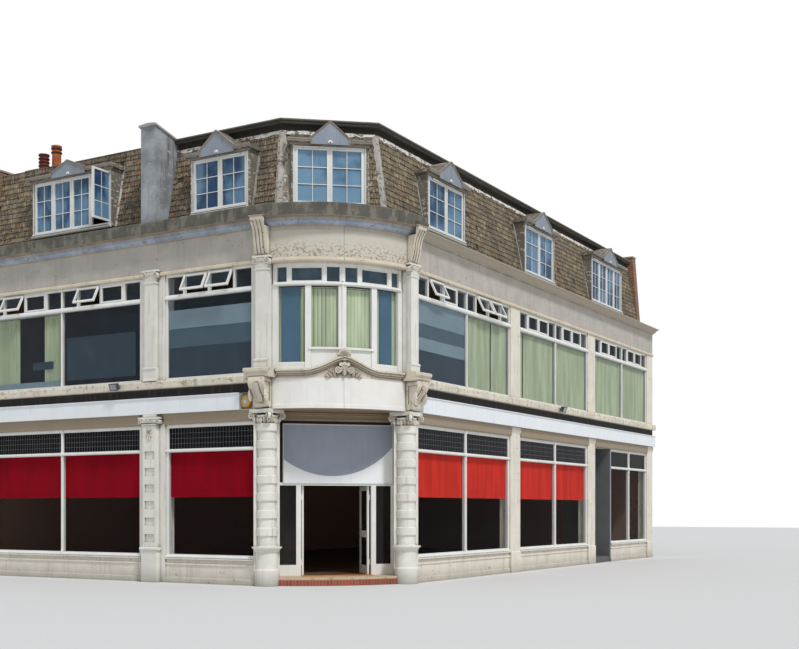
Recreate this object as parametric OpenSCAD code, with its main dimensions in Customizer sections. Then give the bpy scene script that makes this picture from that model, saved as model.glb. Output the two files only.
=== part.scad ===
// Corner shop building: two storeys of stucco under a mansard roof, with two street
// fronts that meet in a rounded corner. The origin is the centre of that curve, at
// ground level. The left front runs to -X and faces -Y, the right front runs to +Y
// and faces +X. Along each front, lengths are counted from where their planes cross.

/* [Plan] */
// Radius of the rounded corner, measured at the wall face
corner_r = 2770; // [2500:10:3100]
// Thickness of the street walls and party walls
wall_t = 330; // [250:10:450]
// Width of the first bay on the left front
left_bay_1_w = 2620; // [2200:10:3200]
// Width of the second, two-light bay on the left front
left_bay_2_w = 5405; // [4600:10:6200]
// Width of the piers on the left front
left_pier_w = 765; // [600:5:900]
// Width of each bay on the right front
right_bay_w = 5230; // [4600:10:6000]
// Width of the piers on the right front
right_pier_w = 640; // [500:5:800]

/* [Levels] */
// Top of the ground floor and of the entrance step
floor_z = 190; // [120:5:300]
// Sill of the shop windows
shop_sill_z = 605; // [450:5:800]
// Centre of the transom in the shop windows
shop_transom_z = 3150; // [2900:10:3300]
// Head of the shop windows
shop_head_z = 3770; // [3700:10:3780]
// Bottom edge of the fascia board
fascia_z = 4030; // [3960:10:4100]
// Height of the fascia board
fascia_h = 395; // [300:5:480]
// Underside of the first-floor sill
sill_z = 4640; // [4560:10:4700]
// Top of the first-floor sill
sill_top_z = 4830; // [4780:10:4900]
// Centre of the transom in the first-floor windows
upper_transom_z = 6810; // [6500:10:6950]
// Head of the first-floor windows
upper_head_z = 7350; // [7200:10:7450]
// Underside of the main cornice
cornice_z = 8150; // [8080:10:8200]
// Top edge of the main cornice
cornice_top_z = 8620; // [8580:10:8700]
// Underside of the flat roof
roof_z = 10650; // [10640:10:10700]
// Thickness of the flat roof edge
roof_edge_h = 100; // [80:5:160]

/* [Shop windows] */
// Face width of frame posts and mullions
post_w = 80; // [60:5:100]
// Depth of the shop window frames, front to back
frame_d = 80; // [60:5:110]
// Setback of the shop window frames from the wall face
frame_set = 40; // [30:5:60]
// Thickness of the glass
glass_t = 10; // [6:1:16]
// Height of the moulding on the stall riser
riser_moulding_z = 455; // [350:5:520]

/* [Corner entrance] */
// Distance of each corner column from the crossing point, along the street
column_along = 2490; // [2440:10:2500]
// Distance of each column centre behind the wall face
column_in = 160; // [140:5:180]
// Radius of the column's raised bands
column_r = 240; // [220:5:270]
// Radius of the moulding on the column's pedestal
column_base_r = 345; // [325:5:350]
// Half width of the flat pier behind each column
column_flank = 295; // [280:5:310]
// Distance of the entrance screen's front face from the crossing point
screen_n = 2355; // [2300:5:2450]
// Half width of the entrance screen
screen_half = 1470; // [1460:5:1480]
// Clear width of the doorway
door_w = 1690; // [1400:10:1800]
// Face width of the posts beside the doorway
door_post_w = 115; // [90:5:130]
// Sideways shift of the doorway from the middle of the screen
door_shift = 75; // [0:5:100]
// Height of the door head above the ground
door_head_z = 2310; // [2200:10:2400]
// Thickness of a door leaf
leaf_t = 44; // [38:1:54]
// Gap all round a door leaf
leaf_gap = 8; // [7:1:10]
// Radius of the hinge pin
pin_r = 7; // [5:1:9]
// Clearance between a hinge pin and its knuckle
pin_gap = 0.4; // [0.2:0.1:0.8]
// Rise of the step's curved front from its ends to its middle
step_bulge = 283; // [150:5:350]

/* [First floor] */
// Setback of the bow window's frame from the curved wall face
bow_set = 180; // [150:5:210]
// Angle from the wall plane to the first bow mullion
bow_a0 = 10.4; // [10.2:0.2:12]
// Width of the corner pilasters
corner_pilaster_w = 360; // [340:5:380]
// Angle of the corner pilasters and consoles round the curve
pilaster_a = 6.1; // [5.8:0.1:6.4]
// Projection of a pilaster from the wall
pilaster_o = 90; // [70:5:120]
// Width of the pilaster shafts on the piers
pilaster_w = 340; // [310:5:400]

/* [Cornice and roof] */
// Projection of the gutter band of the cornice
cornice_o = 260; // [220:5:320]
// Setback of the roof slope's foot from the wall face
roof_foot = 450; // [430:5:500]
// Setback of the roof slope's top
roof_top = 880; // [860:5:980]
// Setback of the flat roof's edge
roof_edge = 750; // [720:5:800]
// Distance of the left hip's foot from the right wall plane
hip_left = 2410; // [2300:10:2500]
// Distance of the right hip's foot from the left wall plane
hip_right = 2050; // [1950:10:2150]
// Thickness of the roof slope
slope_t = 210; // [160:5:260]
// Setback of the dormer fronts
dormer_set = 420; // [380:5:430]
// Width of the narrow dormers, on the corner and on the left front
dormer_w = 1780; // [1600:10:1900]
// Width of the wide dormer on the left front
wide_dormer_w = 2850; // [2600:10:3000]

/* [Hidden] */

$fn = 64;
seam = 0.4;
curve_gap = 2;

// Left front, measured from the crossing point
left_1a = corner_r;
left_1b = left_1a + left_bay_1_w;
left_2a = left_1b + left_pier_w;
left_2b = left_2a + left_bay_2_w;
left_end = left_2b + left_pier_w;
// Right front
right_1a = corner_r;
right_1b = right_1a + right_bay_w;
right_2a = right_1b + right_pier_w;
right_2b = right_2a + right_bay_w;
right_3a = right_2b + right_pier_w;
right_3b = right_3a + right_bay_w;
right_end = right_3b + right_pier_w;

first_floor_t = 300;
first_floor_z = fascia_z + first_floor_t;
attic_floor_z = 8200;
attic_floor_t = 300;
gutter_z = 8450;
bow_r = corner_r - bow_set;
upstand_a = left_1b + left_pier_w / 2 - 40;
upstand_w = 470;
upstand_z = 11060;
stucco = "#e6dfd0";
white = "#f2f1ec";
dark = "#2a2726";
tile = "#6f6657";
lead = "#8b8f92";
pane = "#9fb3c0";
brick = "#96604a";

// Moves to the point where the two wall planes cross
module at_crossing() {
    translate([corner_r, -corner_r, 0]) children();
}

// Fronts: x runs along the wall away from the corner, y out of the wall
module on_left() {
    at_crossing() rotate([0, 0, 180]) children();
}

module on_right() {
    at_crossing() mirror([1, -1, 0]) children();
}

// Diagonal of the corner: x to the right, y into the building
module on_diagonal() {
    at_crossing() rotate([0, 0, 45]) children();
}

// A station on the rounded corner: x round the curve, y outward from radius r
module on_curve(a, r) {
    rotate([0, 0, a + 180]) translate([0, r, 0]) children();
}

module both_sides() {
    children();
    mirror([1, 1, 0]) children();
}

// Extrudes a profile of [outward, height] points along a front
module run(l0, l1) {
    translate([l0, 0, 0]) rotate([90, 0, 90]) linear_extrude(l1 - l0) children();
}

// Extrudes a profile of [outward, height] points across a width centred on x = 0
module across(w) {
    run(-w / 2, w / 2) children();
}

module block(x, y, z) {
    translate([x[0], y[0], z[0]]) cube([x[1] - x[0], y[1] - y[0], z[1] - z[0]]);
}

// Revolves a profile of [radius, height] points round part of the corner
module sweep_corner(a0, a1) {
    rotate([0, 0, a0 - 90]) rotate_extrude(angle = a1 - a0, $fn = 128) children();
}

// Floor outline inside the walls, with the rounded corner
module inner_outline(t) {
    r = corner_r - t - curve_gap;
    circle(r, $fn = 128);
    at_crossing() {
        translate([-left_end + wall_t, t])
            square([left_end - wall_t - corner_r, right_end - wall_t - t]);
        translate([-left_end + wall_t, corner_r])
            square([left_end - wall_t - t, right_end - wall_t - corner_r]);
    }
}

// Ground storey

screen_d = 90;
screen_back = screen_n + screen_d;
flank_x = column_flank / sqrt(2);
plinth_r = column_base_r - 65;
capital_half = column_r + 65;
shop_a = column_along + flank_x + seam;
beam_a = column_along + capital_half + curve_gap;
return_t = post_w - 2;

// Line of the screen's end, from which the return wall starts
function end_y(x) = x - (screen_half + seam) * sqrt(2);

module ground_floor_outline() {
    x0 = -left_end + wall_t;
    y1 = right_end - wall_t;
    ra = shop_a + return_t;
    p = [-(screen_half + screen_back + seam) / sqrt(2), (screen_back - screen_half + seam) / sqrt(2)];
    at_crossing() polygon([[x0, wall_t], [-ra - seam, wall_t], [-ra - seam, end_y(ra) + 3 * seam], p,
        [-p[1], -p[0]], [-end_y(ra) - 3 * seam, ra + seam], [-wall_t, ra + seam],
        [-wall_t, y1], [x0, y1]]);
}

module ground_floor() {
    color("#8a7a66") linear_extrude(floor_z) difference() {
        ground_floor_outline();
        at_crossing() side_lobby_plan();
    }
}

step_front_n = 1490;
step_half = 1600;

module step_outline() {
    half = screen_half - 20;
    r = (half * half + step_bulge * step_bulge) / (2 * step_bulge);
    difference() {
        intersection() {
            translate([-step_half, 0]) square([2 * step_half, screen_back]);
            translate([0, step_front_n + r]) circle(r, $fn = 180);
            rotate(-45) translate([seam - shop_a, 0]) square(shop_a - seam);
        }
        for (s = [-1, 1])
            translate([s * (column_along - column_in) / sqrt(2),
                (column_along + column_in) / sqrt(2)]) {
                circle(plinth_r + curve_gap, $fn = 72);
                pier_outline(seam);
            }
        rotate(-45) {
            return_outline(seam);
            mirror([1, 1]) return_outline(seam);
        }
    }
}

module entrance_step() {
    color("#8d5548") on_diagonal() linear_extrude(floor_z) step_outline();
}

riser_o = -30;
riser_back = -wall_t + 30;

module riser_profile() {
    back = riser_back;
    polygon([[back, 0], [riser_o + 25, 0], [riser_o + 25, 120], [riser_o, 140],
        [riser_o, riser_moulding_z - 30], [riser_o + 25, riser_moulding_z - 15],
        [riser_o + 25, riser_moulding_z + 15], [riser_o, riser_moulding_z + 30],
        [riser_o, shop_sill_z - 40], [riser_o + 50, shop_sill_z - 40],
        [riser_o + 50, shop_sill_z - 10], [riser_o, shop_sill_z],
        [back, shop_sill_z]]);
}

lobby_w = 1400;
lobby_d = 1000;
lobby_wall = 100;
lobby_end = right_3a + lobby_w;

module stall_risers() {
    color(stucco) {
        on_left() {
            run(shop_a, left_1b) riser_profile();
            run(left_2a, left_2b) riser_profile();
        }
        on_right() {
            run(shop_a, right_1b) riser_profile();
            run(right_2a, right_2b) riser_profile();
            run(lobby_end + lobby_wall, right_3b) riser_profile();
        }
    }
}

course_h = 398;
joint_z = 1154;
panel_h = 190;
panel_d = 40;
pier_shaft_w = 410;
capital_z = 3790;
capital_top_z = fascia_z;
pier_cap_z = 3830;
pier_o = 130;

// A ground-storey pier: a narrow shaft with a sunk panel in every course, on a pedestal
module rusticated_pier(w) {
    half = pier_shaft_w / 2;
    panel_w = 0.75 * pier_shaft_w;
    block([-w / 2, w / 2], [-wall_t, 0], [0, shop_head_z]);
    block([-w / 2, w / 2], [-60, 0], [shop_head_z, fascia_z]);
    difference() {
        block([-half, half], [0, pier_o], [0, pier_cap_z]);
        for (k = [0 : 5]) block([-panel_w / 2, panel_w / 2], [pier_o - panel_d, pier_o + 50],
            [joint_z + k * course_h - panel_h, joint_z + k * course_h]);
    }
    block([-half - 30, half + 30], [0, pier_o + 30], [0, 770]);
    across(2 * half + 130) polygon([[0, 770], [pier_o + 40, 770], [pier_o + 65, 795],
        [pier_o + 65, 815], [pier_o + 15, 845], [0, 845]]);
    across(2 * half + 60) polygon([[0, pier_cap_z - 60], [pier_o + 20, pier_cap_z - 60],
        [pier_o + 20, pier_cap_z - 30], [0, pier_cap_z - 30]]);
    block([-half, half], [0, pier_o], [pier_cap_z - 1, fascia_z]);
    translate([0, (pier_o + 40) / 2, 0])
        ionic_capital(2 * half + 250, pier_cap_z - 30, 160, pier_o + 40, 56);
}

module plain_pier(w) {
    block([-w / 2, w / 2], [-wall_t, 0], [0, shop_head_z]);
    block([-w / 2, w / 2], [-60, 0], [shop_head_z, fascia_z]);
    across(w) polygon([[0, 0], [25, 0], [25, 560], [0, 590]]);
    across(w) polygon([[0, pier_cap_z + 20], [35, pier_cap_z + 90],
        [35, fascia_z], [0, fascia_z]]);
}

module ground_piers_left() {
    color(white) on_left() {
        translate([(left_1b + left_2a) / 2, 0, 0]) rusticated_pier(left_pier_w);
        translate([(left_2b + left_end) / 2, 0, 0]) rusticated_pier(left_pier_w);
    }
}

module ground_piers_right() {
    color(stucco) on_right()
        for (l = [right_1b, right_2b, right_3b])
            translate([l + right_pier_w / 2, 0, 0]) plain_pier(right_pier_w);
}

// One corner column: moulded pedestal, banded shaft, flat pier behind, Ionic capital
module column() {
    shaft_r = column_r - 35;
    band_h = 175;
    bands = [for (k = [0 : 6]) let(z = joint_z + k * course_h)
        each (z + band_h < capital_z
            ? [[shaft_r, z - 20], [column_r - 12, z - 8], [column_r, z],
                [column_r, z + band_h - 12], [shaft_r + 8, z + band_h], [shaft_r, z + band_h + 8]]
            : [[shaft_r, z - 20]])];
    body_r = column_base_r - 90;
    top_z = capital_top_z - seam;
    at_crossing() translate([-column_along, column_in, 0]) {
        difference() {
            rotate_extrude($fn = 72) polygon(concat([[0, 0],
                [plinth_r, 0], [plinth_r, 365], [body_r, 400],
                [body_r, 770], [body_r + 25, 785], [body_r + 25, 805], [body_r + 40, 815],
                [body_r + 55, 850], [column_base_r, 870], [column_base_r, 895],
                [shaft_r + 20, 905], [shaft_r, 925]],
                bands,
                [[shaft_r, capital_z - 30], [shaft_r + 15, capital_z - 20],
                [shaft_r + 15, capital_z], [shaft_r, capital_z + 10],
                [shaft_r + 45, capital_z + 75], [shaft_r + 45, capital_z + 100],
                [0, capital_z + 100]]));
            block([-600, -flank_x], [-column_in - 20 - seam, 600], [-1, shop_head_z + seam]);
        }
        rotate([0, 0, 45]) linear_extrude(top_z) pier_outline(0);
        block([seam - beam_a + column_along, 1 - flank_x], [60 - column_in, wall_t - column_in],
            [shop_head_z + seam, top_z]);
        corner_volutes(column_r + 20, capital_z + 90, top_z);
    }
}

// Plan of the pier behind the shaft: half a square, seen from the diagonal
module pier_outline(g) {
    polygon([[-column_flank - g, 0], [column_flank + g, 0], [0, column_flank + g]]);
}

// Capital with a volute on the diagonal under each corner of its abacus
module corner_volutes(c, z, top) {
    r = 72;
    for (a = [45 : 90 : 315]) rotate([0, 0, a]) translate([c * sqrt(2) - 12, 0, z]) {
        rotate([90, 0, 0]) translate([0, 0, -35]) cylinder(r = r, h = 70, $fn = 32);
        rotate([90, 0, 0]) translate([0, 0, -48]) cylinder(r = 0.4 * r, h = 96, $fn = 24);
        translate([-150, -30, 10]) cube([150, 60, r - 10]);
    }
    difference() {
        block([-c - 25, c + 25], [-c - 25, c + 25], [z + 60, top]);
        for (a = [0 : 90 : 270]) rotate([0, 0, a]) translate([c + 25 + 700, 0, z])
            cylinder(r = 745, h = top, $fn = 96);
    }
}

// Two scroll rolls under a square abacus, front and back alike
module ionic_capital(w, z, h, d, roll) {
    for (s = [-1, 1])
        translate([s * (w / 2 - roll), d / 2, z + h - 45 - roll])
            rotate([90, 0, 0]) cylinder(r = roll, h = d, $fn = 40);
    block([-w / 2 + roll, w / 2 - roll], [-d / 2 + 10, d / 2 - 10],
        [z + h - 45 - 1.6 * roll, z + h - 40]);
    block([-w / 2, w / 2], [-d / 2, d / 2], [z + h - 46, z + h]);
}

module corner_column_left() {
    color(white) column();
}

module corner_column_right() {
    color(white) mirror([1, 1, 0]) column();
}

// Short wall behind each column, from the shopfront back to the screen
module return_outline(g = 0) {
    ra = shop_a + return_t;
    y0 = frame_set + frame_d + seam;
    polygon([[-ra, y0], [-shop_a + g, y0], [-shop_a + g, end_y(shop_a) + g],
        [-ra, end_y(ra) + 2 * g]]);
}

module entrance_returns() {
    color(white) both_sides() at_crossing() difference() {
        linear_extrude(shop_head_z) return_outline();
        block([-shop_a - return_t - 1, -shop_a + 1], [0, -riser_back + seam],
            [-1, shop_sill_z + seam]);
    }
}

// A frame of posts, sill, transom and head round equal lights
module light_frame(l0, l1, n, z0, z1, zt, d, w, front) {
    pitch = (l1 - l0 - w) / n;
    y = [-front - d, -front];
    for (i = [0 : n]) block([l0 + i * pitch, l0 + i * pitch + w], y, [z0, z1]);
    block([l0, l1], y, [z0, z0 + w]);
    block([l0, l1], y, [z1 - w, z1]);
    block([l0, l1], y, [zt - w / 2, zt + w / 2]);
}

// Panes that fill the same frame with a seam all round
module light_panes(l0, l1, n, z0, z1, zt, d, w, front) {
    pitch = (l1 - l0 - w) / n;
    y = [-front - d / 2 - glass_t / 2, -front - d / 2 + glass_t / 2];
    for (i = [0 : n - 1]) {
        x = [l0 + i * pitch + w + seam, l0 + (i + 1) * pitch - seam];
        block(x, y, [z0 + w + seam, zt - w / 2 - seam]);
        block(x, y, [zt + w / 2 + seam, z1 - w - seam]);
    }
}

// Shop window bays as [start, end, lights]
left_bays = [[shop_a, left_1b, 1], [left_2a, left_2b, 2]];
right_bays = [[shop_a, right_1b, 2], [right_2a, right_2b, 2],
    [lobby_end + lobby_wall, right_3b, 2]];

module shop_frame(b) {
    light_frame(b[0], b[1], b[2], shop_sill_z, shop_head_z, shop_transom_z,
        frame_d, post_w, frame_set);
}

module shop_panes(b) {
    light_panes(b[0], b[1], b[2], shop_sill_z, shop_head_z, shop_transom_z,
        frame_d, post_w, frame_set);
}

module shopfront_left() {
    color(white) on_left() for (b = left_bays) shop_frame(b);
}

module shopfront_right() {
    color(white) on_right() for (b = right_bays) shop_frame(b);
}

module shop_glass() {
    color(pane, 0.5) {
        on_left() for (b = left_bays) shop_panes(b);
        on_right() for (b = right_bays) shop_panes(b);
    }
}

blind_drop = 1150;
blind_t = 20;

// Roller blinds that hang from the back of the transoms
module shop_blind(b) {
    pitch = (b[1] - b[0] - post_w) / b[2];
    back = frame_set + frame_d;
    for (i = [0 : b[2] - 1])
        block([b[0] + i * pitch + post_w, b[0] + (i + 1) * pitch],
            [-back - blind_t - seam, -back - seam],
            [shop_transom_z + post_w / 2 - blind_drop, shop_transom_z + post_w / 2]);
}

module shop_blinds() {
    color("#a31f2d") {
        on_left() for (b = left_bays) shop_blind(b);
        on_right() for (b = [right_bays[0], right_bays[1]]) shop_blind(b);
    }
}

// Entrance screen

side_post_w = 70;
door_a = door_shift - door_w / 2;
door_b = door_shift + door_w / 2;
panel_z = door_head_z + 70;
panel_top_z = 3830;
screen_top_z = capital_top_z - seam;

module entrance_frame() {
    y = [screen_n, screen_back];
    color(white) on_diagonal() {
        block([-screen_half, -screen_half + side_post_w], y, [floor_z, screen_top_z]);
        block([screen_half - side_post_w, screen_half], y, [floor_z, screen_top_z]);
        block([door_a - door_post_w, door_a], y, [floor_z, panel_z]);
        block([door_b, door_b + door_post_w], y, [floor_z, panel_z]);
        block([-screen_half, screen_half], y, [door_head_z, panel_z]);
        block([-screen_half, screen_half], y, [panel_top_z, screen_top_z]);
        block([-screen_half, door_a], y, [floor_z, floor_z + 260]);
        block([door_b, screen_half], y, [floor_z, floor_z + 260]);
        for (s = [door_a, door_b]) door_pins(s, s == door_a ? 1 : -1);
    }
}

module entrance_glass() {
    mid = (screen_n + screen_back) / 2;
    y = [mid - glass_t / 2, mid + glass_t / 2];
    z = [floor_z + 260 + seam, door_head_z - seam];
    color(pane, 0.5) on_diagonal() {
        block([-screen_half + side_post_w + seam, door_a - door_post_w - seam], y, z);
        block([door_b + door_post_w + seam, screen_half - side_post_w - seam], y, z);
    }
}

module entrance_panel() {
    y = [screen_n + 20, screen_n + 50];
    color("#dfe4e8") on_diagonal()
        block([-screen_half + side_post_w + seam, screen_half - side_post_w - seam], y,
            [panel_z + seam, panel_top_z - seam]);
}

knuckle_r = pin_r + 7;
hinge_n = screen_back + knuckle_r;
hinge_off = knuckle_r + 4;
knuckle_h = 110;
hinge_zs = [floor_z + 260, door_head_z - 320];

// Pins on the post: a vertical pin on a small plate under each knuckle
module door_pins(x, s) {
    for (z = hinge_zs) translate([x + s * hinge_off, hinge_n, z]) {
        cylinder(r = pin_r, h = knuckle_h - 10, $fn = 32);
        translate([0, 0, -12]) {
            cylinder(r = knuckle_r, h = 12, $fn = 32);
            block(s > 0 ? [-hinge_off - 30, 0] : [0, hinge_off + 30],
                [-knuckle_r, 0], [0, 12]);
        }
    }
}

leaf_w = door_w / 2 - hinge_off - leaf_gap / 2;

// A leaf about its hinge axis, closed: it runs to +x, with its face to the street
module leaf() {
    z0 = floor_z + leaf_gap;
    z1 = door_head_z - leaf_gap;
    y1 = -knuckle_r - 1;
    y0 = y1 - leaf_t;
    x0 = -hinge_off + leaf_gap;
    stile = 95;
    mid_z = 1160;
    difference() {
        union() {
            block([x0, leaf_w], [y0, y1], [z0, z1]);
        }
        block([x0 + stile, leaf_w - stile], [y0 - 1, y1 + 1], [z0 + 200, mid_z - 70]);
        block([x0 + stile, leaf_w - stile], [y0 - 1, y1 + 1], [mid_z + 70, z1 - stile]);
    }
    mid = (y0 + y1) / 2;
    block([x0 + stile - 8, leaf_w - stile + 8], [mid - 4, mid + 4], [z0 + 190, z1 - stile + 8]);
    for (z = hinge_zs) {
        difference() {
            union() {
                translate([0, 0, z + 1]) cylinder(r = knuckle_r, h = knuckle_h, $fn = 32);
                block([0, 60], [y1 - 6, -pin_r - 2], [z + 1, z + 1 + knuckle_h]);
            }
            translate([0, 0, z]) cylinder(r = pin_r + pin_gap, h = knuckle_h - 5, $fn = 32);
        }
    }
}

leaf_rest = 90;

module door_leaf_left() {
    color(white) on_diagonal() translate([door_a + hinge_off, hinge_n, 0])
        rotate([0, 0, leaf_rest]) leaf();
}

module door_leaf_right() {
    color(white) on_diagonal() translate([door_b - hinge_off, hinge_n, 0])
        mirror([1, 0, 0]) rotate([0, 0, leaf_rest]) leaf();
}

// Side lobby on the right front, with the door to the upper floors

side_door_w = 900;
side_head_z = 2260;
side_a = right_3a + (lobby_w - side_door_w) / 2;
side_b = side_a + side_door_w;

module side_lobby_plan() {
    mirror([1, -1]) translate([right_3a, -lobby_d - lobby_wall])
        square([lobby_w + lobby_wall, lobby_d + lobby_wall]);
}

// Floor, side walls and back wall of the lobby, split beside and over its door
module side_lobby() {
    back = -lobby_d - lobby_wall;
    color("#77797c") on_right() {
        block([right_3a, lobby_end + lobby_wall], [back, -wall_t], [0, floor_z]);
        block([right_3a, lobby_end], [-wall_t, -40], [0, floor_z]);
        block([lobby_end, lobby_end + lobby_wall], [back, -20], [floor_z, shop_head_z]);
        block([lobby_end, lobby_end + lobby_wall], [-wall_t, -20], [0, floor_z + 1]);
        block([right_3a, side_a], [back, -lobby_d], [floor_z, shop_head_z]);
        block([side_b, lobby_end], [back, -lobby_d], [floor_z, shop_head_z]);
        block([side_a, side_b], [back, -lobby_d], [side_head_z, shop_head_z]);
        block([right_3a, right_3a + lobby_wall], [-lobby_d, -wall_t], [floor_z, shop_head_z]);
        for (z = [floor_z + 300, side_head_z - 320])
            translate([side_a + hinge_off, back - knuckle_r, z]) {
                cylinder(r = pin_r, h = knuckle_h - 10, $fn = 32);
                translate([0, 0, -12]) cylinder(r = knuckle_r, h = 12, $fn = 32);
                block([-hinge_off - 30, 0], [0, knuckle_r], [-12, 0]);
            }
    }
}

module side_door() {
    z0 = floor_z + leaf_gap;
    z1 = side_head_z - leaf_gap;
    y0 = knuckle_r + 1;
    color("#6e7174") on_right()
        translate([side_a + hinge_off, -lobby_d - lobby_wall - knuckle_r, 0]) {
            difference() {
                block([leaf_gap - hinge_off, side_door_w - hinge_off - leaf_gap],
                    [y0, y0 + leaf_t], [z0, z1]);
                for (x = [90, 480], z = [330, 1180])
                    block([x, x + 300], [y0 + leaf_t - 8, y0 + leaf_t + 1],
                        [z, z + (z < 1000 ? 650 : 900)]);
            }
            for (z = [floor_z + 300, side_head_z - 320])
                difference() {
                    union() {
                        translate([0, 0, z + 1])
                            cylinder(r = knuckle_r, h = knuckle_h, $fn = 32);
                        block([0, 60], [pin_r + 2, y0 + 6], [z + 1, z + 1 + knuckle_h]);
                    }
                    translate([0, 0, z]) cylinder(r = pin_r + pin_gap, h = knuckle_h - 5, $fn = 32);
                }
        }
}

// Floors and party walls

module first_floor() {
    color("#b9b1a2") translate([0, 0, first_floor_z - first_floor_t])
        linear_extrude(first_floor_t) inner_outline(wall_t);
}

module attic_floor() {
    color("#b9b1a2") translate([0, 0, attic_floor_z - attic_floor_t])
        linear_extrude(attic_floor_t) inner_outline(wall_t);
}

deck_z = roof_z + 100;
parapet_z = deck_z + roof_edge_h + 150;

// Outline of a party wall as [inward, height], with its top above the roof
module party_outline(far) {
    polygon([[wall_t, 0], [far, 0], [far, parapet_z],
        [roof_edge - 100, parapet_z], [roof_foot + 1, gutter_z],
        [roof_foot + 1, attic_floor_z], [wall_t, attic_floor_z]]);
}

module party_wall_west() {
    color(brick) at_crossing() translate([-left_end, 0, 0]) rotate([90, 0, 90])
        linear_extrude(wall_t) party_outline(right_end);
}

module party_wall_north() {
    color(brick) at_crossing() translate([0, right_end, 0]) rotate([90, 0, 0])
        linear_extrude(wall_t) mirror([1, 0]) party_outline(left_end - wall_t);
}

// Band between the storeys: beam, fascia, sill

fascia_o = 110;
fascia_end = 310;

module beam_profile() {
    polygon([[-wall_t, shop_head_z], [-60, shop_head_z], [-60, capital_top_z],
        [-wall_t, capital_top_z]]);
}

module sill_profile() {
    polygon([[-wall_t, capital_top_z], [-60, capital_top_z], [-60, fascia_z + fascia_h],
        [0, fascia_z + fascia_h], [0, sill_z], [120, sill_z], [130, sill_z + 20],
        [130, sill_top_z - 40], [100, sill_top_z], [-wall_t, sill_top_z]]);
}

module sill_bands() {
    color(stucco) {
        on_left() {
            run(corner_r + seam, left_end) sill_profile();
            run(beam_a, left_end) beam_profile();
        }
        on_right() {
            run(corner_r + seam, right_end) sill_profile();
            run(beam_a, right_end) beam_profile();
        }
    }
}

// The board runs through over the piers, and a sloped box hides the blinds below it
module fascia_board(l0, l1) {
    run(l0, l1) polygon([[-60, fascia_z + 10], [fascia_o - 20, fascia_z + 10],
        [fascia_o - 20, fascia_z], [fascia_o, fascia_z],
        [fascia_o, fascia_z + fascia_h - 25], [fascia_o + 25, fascia_z + fascia_h - 20],
        [fascia_o + 25, fascia_z + fascia_h], [-60, fascia_z + fascia_h]]);
}

module blind_box(l0, l1) {
    run(l0, l1) polygon([[-60, shop_head_z], [15, shop_head_z], [35, shop_head_z + 30],
        [50, fascia_z + 11], [-60, fascia_z + 11]]);
}

module fascia() {
    color("#e4e8ec") {
        on_left() {
            fascia_board(corner_r + fascia_end, left_end);
            for (b = left_bays) blind_box(max(b[0], beam_a), b[1]);
        }
        on_right() {
            fascia_board(corner_r + 80, right_end);
            blind_box(beam_a, right_1b);
            blind_box(right_2a, right_2b);
            blind_box(right_3a, right_3b);
        }
    }
}

// Rounded corner between the storeys

module corner_apron() {
    color(white) for (a = [0, 45])
        sweep_corner(a + 0.01, a + 44.99)
            polygon([[corner_r - wall_t, capital_top_z], [corner_r, capital_top_z],
                [corner_r, capital_top_z + 90], [corner_r - 12, capital_top_z + 100],
                [corner_r - 12, crest_z], [bow_r + 14, crest_z], [bow_r + 14, sill_top_z],
                [corner_r - wall_t, sill_top_z]]);
}

shelf_z = 4735;
shelf_top_z = 4940;
console_z = fascia_z + 20;
console_o = 330;
console_w = 410;
shelf_w = 640;
crest_z = 4720;

// Scroll console under the corner pilaster, and the moulded shelf on it
module apron_console() {
    n = 24;
    w = console_w;
    z1 = shelf_z - console_z;
    face = [for (i = [0 : n]) let(t = i / n)
        [console_o - 195 * pow(1 - t, 1.3) - 50 * sin(360 * t), console_z + 80 + t * (z1 - 100)]];
    rib = [for (i = [3 : n - 3]) [face[i][0] - 38, face[i][1]]];
    difference() {
        across(w) polygon(concat([[0.5, console_z], [75, console_z], [115, console_z + 30]], face,
            [[console_o, shelf_z], [0.5, shelf_z]]));
        for (s = [-1, 1]) translate([s * w / 2, 0, 0]) across(36)
            polygon(concat(rib, [[60, shelf_z - 110], [60, console_z + 150]]));
        for (s = [-1, 1]) translate([s * w / 2, 0, console_z - 1]) rotate([0, 0, -s * 3])
            block(s > 0 ? [0, 100] : [-100, 0], [-100, 500], [0, z1]);
    }
    across(0.32 * w) polygon(concat([for (i = [2 : n - 5]) [face[i][0] + 26, face[i][1]]],
        [[60, shelf_z - 140], [60, console_z + 130]]));
    across(shelf_w) polygon([[0.5, shelf_z], [console_o - 20, shelf_z],
        [console_o + 10, shelf_z + 50], [console_o + 10, shelf_z + 90],
        [console_o + 50, shelf_z + 130], [console_o + 50, shelf_top_z - 20],
        [console_o + 20, shelf_top_z], [0.5, shelf_top_z]]);
}

module apron_consoles() {
    color(white) both_sides() difference() {
        on_curve(pilaster_a, corner_r) apron_console();
        block([-600, seam], [-4000, 0], [0, shelf_top_z + 1]);
    }
}

// Bow window

bow_w = 140;
bow_mid_w = 180;
bow_d = 80;
bow_rail = 90;
bow_low_z = 5040;
bow_high_z = 5380;
bow_step = (45 - bow_a0) / 2;
bow_edge = bow_a0 - asin((bow_w / 2 + 2) / (bow_r - bow_d));
// Mullion angles of the lights below and above the transom
bow_low = [bow_a0, bow_a0 + bow_step, 45, 90 - bow_a0 - bow_step, 90 - bow_a0];
bow_high = [bow_a0, bow_a0 + 7.4, 36, 45, 54, 82.6 - bow_a0, 90 - bow_a0];

function bow_sill(i) = (i == 0 || i == 3) ? bow_low_z : bow_high_z;
function bow_post(a) = a == 45 ? bow_mid_w : bow_w;

// A rail that follows the curve, as points of [set from the frame's face, height]
module bow_band(a0, a1, profile) {
    sweep_corner(a0, a1) translate([bow_r, 0]) polygon(profile);
}

module bow_posts(angles, z, k) {
    for (a = angles) on_curve(a, bow_r)
        block([-k * bow_post(a) / 2, k * bow_post(a) / 2], [-bow_d, 10], z);
}

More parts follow.
